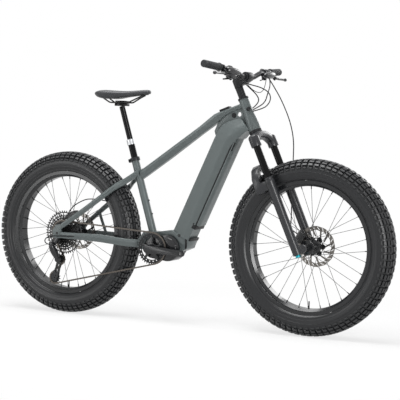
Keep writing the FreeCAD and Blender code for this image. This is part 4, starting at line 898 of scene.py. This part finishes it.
class BIKE_OT_frame(bpy.types.Operator):
    """Frame tubes, stays and the motor's cradle"""
    bl_idname = "bike.frame"
    bl_label = "Frame"

    def execute(self, context):
        self.main_tubes()
        self.stays()
        self.cradle()
        coat(paint(), "head_tube", "seat_tube")
        softened("seat_clamp", "frame", anodised(), 1.0)
        coat(gloss_black(), "dropper_tube")
        coat(silver(), "dropper_collar")
        coat(anodised(), "headset")
        coat(plastic(), "control_unit", "power_button")
        fittings = cad_copy("frame_fittings")
        trim(fittings, DOWN_TUBE @ at(STOP_FRONT, 0, 0), FORWARD, lambda middle: middle.z < 0.5)
        piece(soften(fittings, 0.8), "frame_fittings_soft", "frame", plastic(), ["frame_fittings"],
              30)
        softened("rear_caliper", "frame", cast_black(), 1.5)
        return {"FINISHED"}

    def main_tubes(self):
        """Top tube, trimmed clear of the seat post, the web behind the head tube, and the down tube."""
        bm = bmesh.new()
        stations = []
        for (xu, zu), (xl, zl), half in TOP_TUBE:
            middle = at((xu + xl) / 2, 0, (zu + zl) / 2)
            side = at(0, half, 0)
            stations.append(section(at(xl, 0, zl), at(xu, 0, zu), middle + side, middle - side, KEEL))
        loft(bm, stations, 4 * len(KEEL))
        forward = Matrix.Rotation(math.radians(SEAT_LEAN), 3, "Y") @ Vector((1, 0, 0))
        trim(bm, at(*SEAT_BASE) + forward * POST_ROOM * MM, -forward)
        piece(bm, "top_tube_skin", "frame", paint(), ["top_tube"], 24)
        web = cad_copy("top_tube", lambda c: 0.2 < c.x < 0.32 and abs(c.z - 0.945) < 0.03)
        piece(soften(web, 0.8), "head_gusset_skin", "frame", paint(), (), 30)
        bm = bmesh.new()
        loft(bm, [down_section(*row) for row in NECK], 4 * len(FACETS))
        piece(bm, "down_tube_skin", "frame", paint(), ["down_tube"], 16)

    def stay(self, bm, rows):
        """Both stays of a pair, from rows of x, lowest z, highest z, nearest y and farthest y."""
        for sign in (1, -1):
            stations = []
            for x, low, high, near, far in rows:
                across, middle = sign * (near + far) / 2, (low + high) / 2
                stations.append(section(at(x, across, low), at(x, across, high), at(x, sign * far, middle),
                                        at(x, sign * near, middle), KEEL))
            loft(bm, stations, 4 * len(KEEL))

    def stays(self):
        """Chainstays with their dropouts, and seatstays with the brace on the left."""
        bm = bmesh.new()
        self.stay(bm, CHAINSTAY)
        drops = soften(cad_copy("chainstays", lambda c: c.x < -0.6), 0.8)
        mesh = bpy.data.meshes.new("drops")
        drops.to_mesh(mesh)
        bm.from_mesh(mesh)
        drops.free()
        piece(bm, "chainstay_skin", "frame", paint(), ["chainstays"], 24)
        bm = bmesh.new()
        rows = []
        for x, near, far in SEATSTAY:
            middle, tall = 672 + (x + 250) * 0.72, 15.5 + (x + 250) * 0.006
            rows.append((x, middle - tall, middle + tall, near, far))
        self.stay(bm, rows)
        tube(bm, [at(*p) for p in BRACE], 7 * MM, 20)
        piece(bm, "seatstay_skin", "frame", paint(), ["seatstays"], 24)

    def cradle(self):
        """The motor's cradle, cut back in front and below, with a black band of painted shade behind its
        flange, and a bolt.
        """
        cradle = cad_copy("motor_cradle")
        for spot, out in ((DOWN_TUBE @ at(CRADLE_FRONT, 0, 0), FORWARD),
                          (at(20, 0, 338), Vector((0.45, 0, -1)))):
            trim(cradle, spot, out)
        soften(cradle, 5.0)
        # A black band laid on the cradle's sides is painted shade: it stands for the shadow in the gap
        # behind the flange
        band = cradle.copy()
        for spot, out in FLANGE_SHADE_BAND:
            bmesh.ops.bisect_plane(band, geom=[*band.verts, *band.edges, *band.faces], plane_co=at(*spot),
                                   plane_no=Vector(out))
        spare = []
        for f in band.faces:
            x, y, z = f.calc_center_median() / MM
            sides = [(x - spot[0]) * out[0] + (z - spot[2]) * out[2] for spot, out in FLANGE_SHADE_BAND]
            if not (sides[0] > 0 and sides[1] < 0 and sides[2] < 0 and abs(y) > 20):
                spare.append(f)
        bmesh.ops.delete(band, geom=spare, context="FACES")
        inflate(band, 0.5)
        bmesh.ops.solidify(band, geom=band.faces[:], thickness=2.0 * MM)
        piece(band, "motor_flange_painted_shade", "frame", plastic(), (), 30)
        hit = BVHTree.FromBMesh(cradle).ray_cast(at(-2, -300, 404), Vector((0, 1, 0)))[0]
        bolt = bmesh.new()
        rounded(bolt, [hit + at(0, y, 0) for y, _ in BOLT], [r for _, r in BOLT], 24)
        piece(bolt, "motor_bolt", "frame", dark_steel(), (), 30)
        piece(cradle, "motor_cradle_skin", "frame", paint(), ["motor_cradle"], 30)


class BIKE_OT_motor(bpy.types.Operator):
    """Motor housing and battery"""
    bl_idname = "bike.motor"
    bl_label = "Motor and battery"

    def execute(self, context):
        housing = cad_copy("motor_housing")
        trim(housing, at(-36, 52, 320), Vector((0.55, 0.6, -0.55)))
        piece(soften(housing, 3.0), "motor_housing_soft", "frame", cast_black(), ["motor_housing"],
              30)
        bm = bmesh.new()
        loft(bm, [self.cover(*row) for row in COVER_ENDS], 4 * len(COVER))
        piece(bm, "battery_cover", "battery", paint(), ["battery"], 20)
        pack = bmesh.new()
        block(pack, DOWN_TUBE @ Matrix.Translation(at(*PACK_CASE[0])), *PACK_CASE[1])
        soften(pack, 1.5, 3)
        piece(pack, "battery_pack_case", "battery", plastic(), (), 40)
        lock = bmesh.new()
        turned = Matrix.Translation(at(*LOCK[0])) @ Matrix.Rotation(math.radians(-32), 4, "Z")
        block(lock, DOWN_TUBE @ turned, *LOCK[1])
        soften(lock, 2, 3)
        piece(lock, "battery_lock", "battery", plastic(), (), 40)
        return {"FINISHED"}

    def cover(self, w, inset):
        """A station of the battery's cover, drawn in at its ends."""
        def place(x, y):
            q, half = around(COVER, x, y)
            return DOWN_TUBE @ at(109 + (q - 109) * (1 - inset / 10), half * (1 - inset / 45), w)
        return place


# Fork and bars

# Half of the crown's arch as y, lowest, highest and half depth, then its shoulders and its boss with the
# steerer as height and radius, all in the steering frame
ARCH = ((-103, -80, -44, 11), (-94, -84, -35, 18), (-80, -80, -29, 20), (-66, -66, -23, 20.5),
        (-50, -54, -17, 21), (-30, -46, -12.6, 22), (0, -45, -12.6, 22.5))
SHOULDER = ((-86, 20.5), (-85, 22.6), (-80, 23.5), (-44, 23.5), (-37, 21), (-33, 16.5), (-31, 9))
BOSS = ((-46, 22), (-44, 26), (-16, 28.5), (-12.6, 27.5), (-12.5, 14.2), (252, 14.2))
LEG = (19, 87)
ARCH_FORWARD = 17


class BIKE_OT_fork(bpy.types.Operator):
    """Suspension fork with its brake caliper"""
    bl_idname = "bike.fork"
    bl_label = "Fork"

    def execute(self, context):
        crown = bmesh.new()
        rows = ARCH + tuple((-y, *rest) for y, *rest in reversed(ARCH[:-1]))
        loft(crown, [self.arm(*row) for row in rows], 32)
        forward, aside = LEG
        for y in (aside, -aside):
            rounded(crown, [STEERING @ at(forward, y, z) for z, _ in SHOULDER], [r for _, r in SHOULDER], 32)
        rounded(crown, [STEERING @ at(0, 0, z) for z, _ in BOSS], [r for _, r in BOSS], 40)
        piece(crown, "fork_crown_arch", "steering", fork_black(), ["fork_crown"], 40)
        coat(gloss_black(), "stanchions")
        softened("fork_lowers", "fork_lowers", fork_black(), 2.5)
        softened("front_caliper", "fork_lowers", cast_black(), 1.5)
        softened("rebound_knob", "rebound_knob", teal(), 0.8)
        return {"FINISHED"}

    def arm(self, y, low, high, half):
        """A station across the crown's arch, in the steering frame."""
        def place(c, t):
            c, t = squarish(c, t, 2.8)
            return STEERING @ at(ARCH_FORWARD + c * half, y, (low + high) / 2 + t * (high - low) / 2)
        return place


def on_bar(y):
    """The bar's centre line on its straight outer run, in the steering frame."""
    share = (abs(y) - 125) / 250
    return Vector((64 - 11 * share, y, 252 + 25 * share))


# A brake blade as share of its length and radius, then the brake bodies and the shifter pod as y and radius,
# with their places under the bar
BLADE = ((0.12, 5.5), (0.3, 5.6), (0.5, 5.0), (0.7, 4.9), (0.88, 4.8), (0.93, 6.0), (0.97, 7.6), (1.01, 7.6),
         (1.04, 6.0), (1.06, 2.5))
BRAKE_BODY = ((232, 9), (226, 14.5), (206, 17), (180, 16), (152, 14.5), (132, 11), (124, 4))
BODY_PLACE = Vector((19, 0, -19))
POD = ((222, 6), (216, 11), (198, 14), (176, 14), (156, 11), (146, 5))
POD_PLACE = Vector((8, 0, -35))
GRIP_ENDS = (251.5, 374.6)
GRIP_COLLAR = ((0, 11.4), (0, 17.6), (1, 18.3), (5, 18.3), (6, 16))
GRIP_RIB = ((0, 15.9), (0.6, 15.1), (1.8, 15.1), (2.4, 15.9))
RIB_STEP = 4.2


class BIKE_OT_cockpit(bpy.types.Operator):
    """Stem, handlebar, ribbed grips, brake levers and switches"""
    bl_idname = "bike.cockpit"
    bl_label = "Cockpit"

    def execute(self, context):
        softened("stem", "steering", anodised(), sizes().edge)
        coat(anodised(), "handlebar")
        bm = bmesh.new()
        for side in (1, -1):
            start, end = (on_bar(side * y) for y in GRIP_ENDS)
            length = (end - start).length
            profile = list(GRIP_COLLAR)
            k = 8.0
            while k < length - 8:
                profile += [(k + a, r) for a, r in GRIP_RIB]
                k += RIB_STEP
            profile += [(length - 3, 16), (length, 14), (length, 0.4)]
            way = (end - start).normalized()
            out = way.orthogonal().normalized()
            verts = [bm.verts.new(STEERING @ ((start + way * a + out * r) * MM)) for a, r in profile]
            edges = [bm.edges.new(pair) for pair in zip(verts, verts[1:])]
            axis = STEERING.to_3x3() @ way
            bmesh.ops.spin(bm, geom=verts + edges, cent=STEERING @ (start * MM), axis=axis,
                           angle=2 * math.pi, steps=40, use_merge=True)
        fill_holes(bm)
        piece(bm, "grip_rubbers", "steering", grip_rubber(), ["grips"], 30)
        softened("lever_clamps", "steering", cast_black(), 1.0)
        bodies = bmesh.new()
        for side, name in ((-1, "right"), (1, "left")):
            bm = cad_copy(f"brake_lever_{name}")
            reach = sorted(bm.verts, key=lambda v: abs(v.co.y))
            few = max(4, len(reach) // 8)
            pivot, tip = middle_of(reach[:few]), middle_of(reach[-few:])
            soften(bm, 0.8)
            rounded(bm, [pivot.lerp(tip, share) for share, _ in BLADE], [r for _, r in BLADE])
            piece(bm, f"brake_blade_{name}", f"brake_{name}", cast_black(), [f"brake_lever_{name}"],
                  30)
            self.under_bar(bodies, side, BRAKE_BODY, BODY_PLACE)
        self.under_bar(bodies, -1, POD, POD_PLACE)
        piece(bodies, "brake_bodies", "steering", cast_black(), (), 30)
        controls = soften(cad_copy("bar_controls"), 1.0)
        inflate(controls, 2.6)
        piece(controls, "bar_controls_soft", "steering", plastic(), ["bar_controls"], 30)
        for name, body in (("shift_lever_down", "shift_down"), ("shift_lever_up", "shift_up"),
                           ("dropper_lever", "dropper_lever")):
            softened(name, body, plastic(), 0.8)
        coat(plastic(), "assist_up", "assist_down")
        return {"FINISHED"}

    def under_bar(self, bm, side, rows, place):
        """A round body beside the bar, from rows of y and radius."""
        rounded(bm, [STEERING @ ((on_bar(side * y) + place) * MM) for y, _ in rows], [r for _, r in rows])


# Routes of the hoses and housings, each from where it leaves the bike to where it goes back in
ROUTES = {
    "rear_brake_hose": ((-690, 88, 476), (-672, 90, 500), (-640, 93, 520), (-600, 93, 538), (-560, 91, 542),
                        (-513, 88, 540), (-466, 84, 534.4)),
    "rear_shift_housing": ((-530, -110.4, 374), (-600, -114, 372), (-660, -118, 372), (-692, -116, 352),
                           (-684, -114, 331), (-662.6, -114, 330)),
    "left_bar_housing": ((314.1, 176, 1130), (327.5, 176, 1132.2), (372, 100, 1090), (391, 30, 1047),
                         (394, 2, 1011), (372, -18, 989), (348, -27, 976)),
    "right_bar_housing": ((318.2, -193.8, 1130.8), (319, -183.9, 1130.1), (333.6, -165, 1122.2),
                          (348, -100, 1084), (372, -30, 1040), (374, -14, 1008), (345, -23, 983)),
    "rear_brake_bar_hose": ((318, -186, 1124), (330, -150, 1106), (350, -80, 1086), (372, 0, 1076),
                            (392, 42, 1056), (403, 42, 1030), (400, 24, 1002), (384, 2, 982),
                            (349, -27, 970)),
    "display_cable": ((322, 160, 1124), (332, 132, 1094), (341, 88, 1062), (342, 44, 1052), (334, 2, 1062),
                      (324, -34, 1086), (318, -70, 1110)),
    "front_brake_hose": ((318.2, 193.8, 1130.8), (319, 183.9, 1130.1), (350, 184, 1085), (380, 172, 1048),
                         (412, 158, 1003), (457, 135, 927), (481, 124, 847), (484, 116, 767),
                         (482, 112, 581), (484, 110, 500), (496, 76, 460), (515, 56, 449.3),
                         (539.4, 56, 435.2)),
}
STANDS_FOR = {"rear_brake_hose": "rear_lines", "rear_shift_housing": "rear_lines",
              "left_bar_housing": "bar_cables", "right_bar_housing": "bar_cables",
              "front_brake_hose": "front_hose"}
# Lines that ride on one body; the others ride on none
FIXED_TO = {"rear_brake_hose": "frame", "rear_shift_housing": "frame", "display_cable": "steering"}
DISPLAY_CABLE = 3.2


class BIKE_OT_hoses(bpy.types.Operator):
    """Brake hoses, shift housing and bar cables"""
    bl_idname = "bike.hoses"
    bl_label = "Hoses"

    def execute(self, context):
        for name, route in ROUTES.items():
            thick = (DISPLAY_CABLE if name == "display_cable" else sizes().hose) * MM
            line = spline_points([at(*p) for p in route])
            bm = bmesh.new()
            tube(bm, line, thick / 2)
            body = FIXED_TO.get(name)
            stands_for = [STANDS_FOR[name]] if name in STANDS_FOR else ()
            made = piece(bm, name, body, plastic(), stands_for, 60)
            if name == "front_brake_hose":
                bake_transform(made)
            elif not body:
                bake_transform(made)
            length = sum((b - a).length for a, b in zip(line, line[1:]))
            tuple(line[0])
        return {"FINISHED"}


# Saddle

# Stations of the saddle: x, half width, then top, shoulder and skirt against its highest line
SADDLE = ((-466, 46, -11, -19, -31), (-456, 58, -6, -17, -40), (-440, 66, -2, -16, -46),
          (-420, 69, -1, -17, -50), (-400, 68, -2, -18, -52), (-375, 60, -3.5, -19, -50),
          (-350, 50, -5, -20, -46), (-325, 39.5, -6, -20.5, -41), (-300, 31, -6, -20, -36),
          (-275, 25, -4.5, -18, -31), (-250, 21, -3, -16, -28), (-225, 19, -1.2, -13.5, -25.5),
          (-205, 18, 0, -12, -24), (-196, 14.5, -2, -12, -22), (-192, 10.5, -5, -12, -19))


def saddle_section(x, half, top, shoulder, skirt):
    """A station of the saddle: a crowned top with a channel, round shoulders and a drawn-in skirt."""
    def place(c, s):
        c2, s2 = squarish(c, s, 2.6)
        y = half * c2
        if s >= 0:
            z = shoulder + (top - shoulder) * s2
            channel = max(0.0, 1 - abs(c2) / 0.22) * max(0.0, min(1.0, (-x - 215) / 60))
            z -= 2.6 * channel
        else:
            z = shoulder + (skirt - shoulder) * -s2 * (0.5 + 0.5 * min(1.0, abs(c2) / 0.8))
            y *= 1 - 0.1 * -s2
        return at(x, y, SADDLE_TOP + z)
    return place


class BIKE_OT_saddle(bpy.types.Operator):
    """Padded saddle, its shell, rails and dropper post"""
    bl_idname = "bike.saddle"
    bl_label = "Saddle"

    def execute(self, context):
        bm = bmesh.new()
        loft(bm, [saddle_section(*row) for row in SADDLE], 64)
        for _ in range(2):
            bmesh.ops.smooth_vert(bm, verts=bm.verts, factor=0.3, use_axis_x=True, use_axis_y=True,
                                  use_axis_z=True)
        cover = piece(bm, "saddle_padding", "saddle_post", saddle_skin(), ["saddle_cover"],
                      60)
        softened("saddle_frame", "saddle_post", dark_steel(), 0.5)
        softened("dropper_post", "saddle_post", gloss_black(), 1.0)
        return {"FINISHED"}


# Stage

# Lamps: name, place, aim, width and height in metres, and watts
LAMPS = (("top", (-0.3, -0.5, 3.4), (0.0, 0, 0.3), 2.2, 2.2, 125),
         ("key", (-3.2, -4.0, 1.3), (0, 0, 0.6), 0.9, 2.6, 28),
         ("front", (4.2, -2.8, 1.2), (0.2, 0, 0.6), 0.9, 2.6, 120),
         ("back", (0.8, 4.2, 2.2), (0, 0, 0.6), 1.6, 1.6, 36))
SOFT_LIGHT = 0.2
# The floor's own white to the camera: its share near the bike, and where it starts and ends growing
FLOOR_WHITE = 0.72
FLOOR_NEAR, FLOOR_FAR = 0.95, 1.7
# The camera as fitted to the photograph: turn, rise and roll in degrees, aim in millimetres, distance in
# metres, and its focal length in pixels of the square picture
CAMERA_ANGLES = (28.28, 3.115, 1.106)
CAMERA_AIM = (79.66, 0, 567.32)
CAMERA_DISTANCE = 5.7133
FOCAL_PIXELS, PICTURE = 1263.1, 400
SENSOR = 36


class BIKE_OT_stage(bpy.types.Operator):
    """Pale floor, soft light and a camera where the photograph was taken"""
    bl_idname = "bike.stage"
    bl_label = "Stage"

    def execute(self, context):
        scene = bpy.context.scene
        scene.view_settings.view_transform = "Standard"
        bm = bmesh.new()
        bmesh.ops.create_grid(bm, x_segments=1, y_segments=1, size=30)
        floor = piece(bm, "floor", None, self.floor_finish(), (), 30, False)
        floor.data.transform(Matrix.Translation((0, 0, -0.0006)))
        self.world(scene)
        for name, spot, aim, wide, tall, power in LAMPS:
            lamp = bpy.data.lights.new(name, "AREA")
            lamp.shape = "RECTANGLE"
            lamp.size = wide
            lamp.size_y = tall
            lamp.energy = power
            holder = bpy.data.objects.new(name, lamp)
            scene.collection.objects.link(holder)
            holder.location = spot
            holder.rotation_euler = (Vector(aim) - Vector(spot)).to_track_quat("-Z", "Y").to_euler()
        self.camera(scene)
        return {"FINISHED"}

    def looked_at(self, tree):
        """One where the camera, a gloss or a glass looks, and nought for light that falls on the bike."""
        path = node(tree, "ShaderNodeLightPath")
        gloss = node(tree, "ShaderNodeMath", {0: path.outputs["Is Camera Ray"],
                                              1: path.outputs["Is Glossy Ray"]}, operation="MAXIMUM")
        both = node(tree, "ShaderNodeMath", {0: gloss.outputs[0], 1: path.outputs["Is Transmission Ray"]},
                    operation="MAXIMUM")
        return both.outputs[0]

    def floor_finish(self):
        """A pale floor that keeps the shadow and shows white to the camera."""
        made = bpy.data.materials.new("pale_floor")
        made.use_nodes = True
        tree = made.node_tree
        tree.nodes.clear()
        seen = self.looked_at(tree)
        matt = node(tree, "ShaderNodeBsdfDiffuse", {"Color": linear("#f4f4f4")})
        glow = node(tree, "ShaderNodeEmission", {"Color": (1, 1, 1, 1), "Strength": 1.0})
        away = node(tree, "ShaderNodeVectorMath", {0: node(tree, "ShaderNodeTexCoord").outputs["Object"]},
                    operation="LENGTH")
        far = node(tree, "ShaderNodeMapRange", {0: away.outputs["Value"], 1: FLOOR_NEAR, 2: FLOOR_FAR,
                                                3: FLOOR_WHITE, 4: 1.0})
        share = node(tree, "ShaderNodeMath", {0: seen, 1: far.outputs[0]}, operation="MULTIPLY")
        mix = node(tree, "ShaderNodeMixShader", {0: share.outputs[0], 1: matt.outputs[0],
                                                 2: glow.outputs[0]})
        node(tree, "ShaderNodeOutputMaterial", {"Surface": mix.outputs[0]})
        return made

    def world(self, scene):
        """Soft light all round, and white where the camera, gloss or glass looks past the object."""
        made = bpy.data.worlds.new("studio")
        scene.world = made
        made.use_nodes = True
        tree = made.node_tree
        tree.nodes.clear()
        soft = node(tree, "ShaderNodeBackground", {"Color": (1, 1, 1, 1), "Strength": SOFT_LIGHT})
        white = node(tree, "ShaderNodeBackground", {"Color": (1, 1, 1, 1), "Strength": 1.0})
        mix = node(tree, "ShaderNodeMixShader", {0: self.looked_at(tree), 1: soft.outputs[0],
                                                 2: white.outputs[0]})
        node(tree, "ShaderNodeOutputWorld", {"Surface": mix.outputs[0]})

    def camera(self, scene):
        """The photograph's place: a long lens, three quarters from the right, held at a slight roll."""
        turn, rise, roll = (math.radians(a) for a in CAMERA_ANGLES)
        back = Vector((math.sin(turn) * math.cos(rise), -math.cos(turn) * math.cos(rise), math.sin(rise)))
        right = Vector((math.cos(turn), math.sin(turn), 0))
        up = back.cross(right)
        across = right * math.cos(roll) + up * math.sin(roll)
        upright = up * math.cos(roll) - right * math.sin(roll)
        lens = bpy.data.cameras.new("camera")
        lens.sensor_width = SENSOR
        lens.lens = SENSOR * FOCAL_PIXELS / PICTURE
        lens.clip_end = 100
        eye = bpy.data.objects.new("camera", lens)
        scene.collection.objects.link(eye)
        place = Matrix((across, upright, back)).transposed().to_4x4()
        place.translation = at(*CAMERA_AIM) + back * CAMERA_DISTANCE
        eye.matrix_world = place
        scene.camera = eye


class BIKE_PT_panel(bpy.types.Panel):
    """Lists the bike's groups and their sizes"""
    bl_idname = "BIKE_PT_panel"
    bl_label = "Bike"
    bl_space_type = "VIEW_3D"
    bl_region_type = "UI"
    bl_category = "Bike"

    def draw(self, context):
        for group in (context.scene.bike_sizes, context.scene.bike_colours):
            for word in group.__annotations__:
                self.layout.prop(group, word)
        for kind in STEPS:
            self.layout.operator(kind.bl_idname)


STEPS = (BIKE_OT_tyres, BIKE_OT_wheels, BIKE_OT_drive, BIKE_OT_frame, BIKE_OT_motor, BIKE_OT_fork,
         BIKE_OT_cockpit, BIKE_OT_hoses, BIKE_OT_saddle, BIKE_OT_stage)
CLASSES = (BikeSizes, BikeColours, *STEPS, BIKE_PT_panel)


def register():
    for kind in CLASSES:
        bpy.utils.register_class(kind)
    bpy.types.Scene.bike_sizes = bpy.props.PointerProperty(type=BikeSizes)
    bpy.types.Scene.bike_colours = bpy.props.PointerProperty(type=BikeColours)


def unregister():
    del bpy.types.Scene.bike_colours
    del bpy.types.Scene.bike_sizes
    for kind in reversed(CLASSES):
        bpy.utils.unregister_class(kind)


def main():
    register()
    for kind in STEPS:
        group, word = kind.bl_idname.split(".")
        getattr(getattr(bpy.ops, group), word)()


if __name__ == "__main__":
    main()
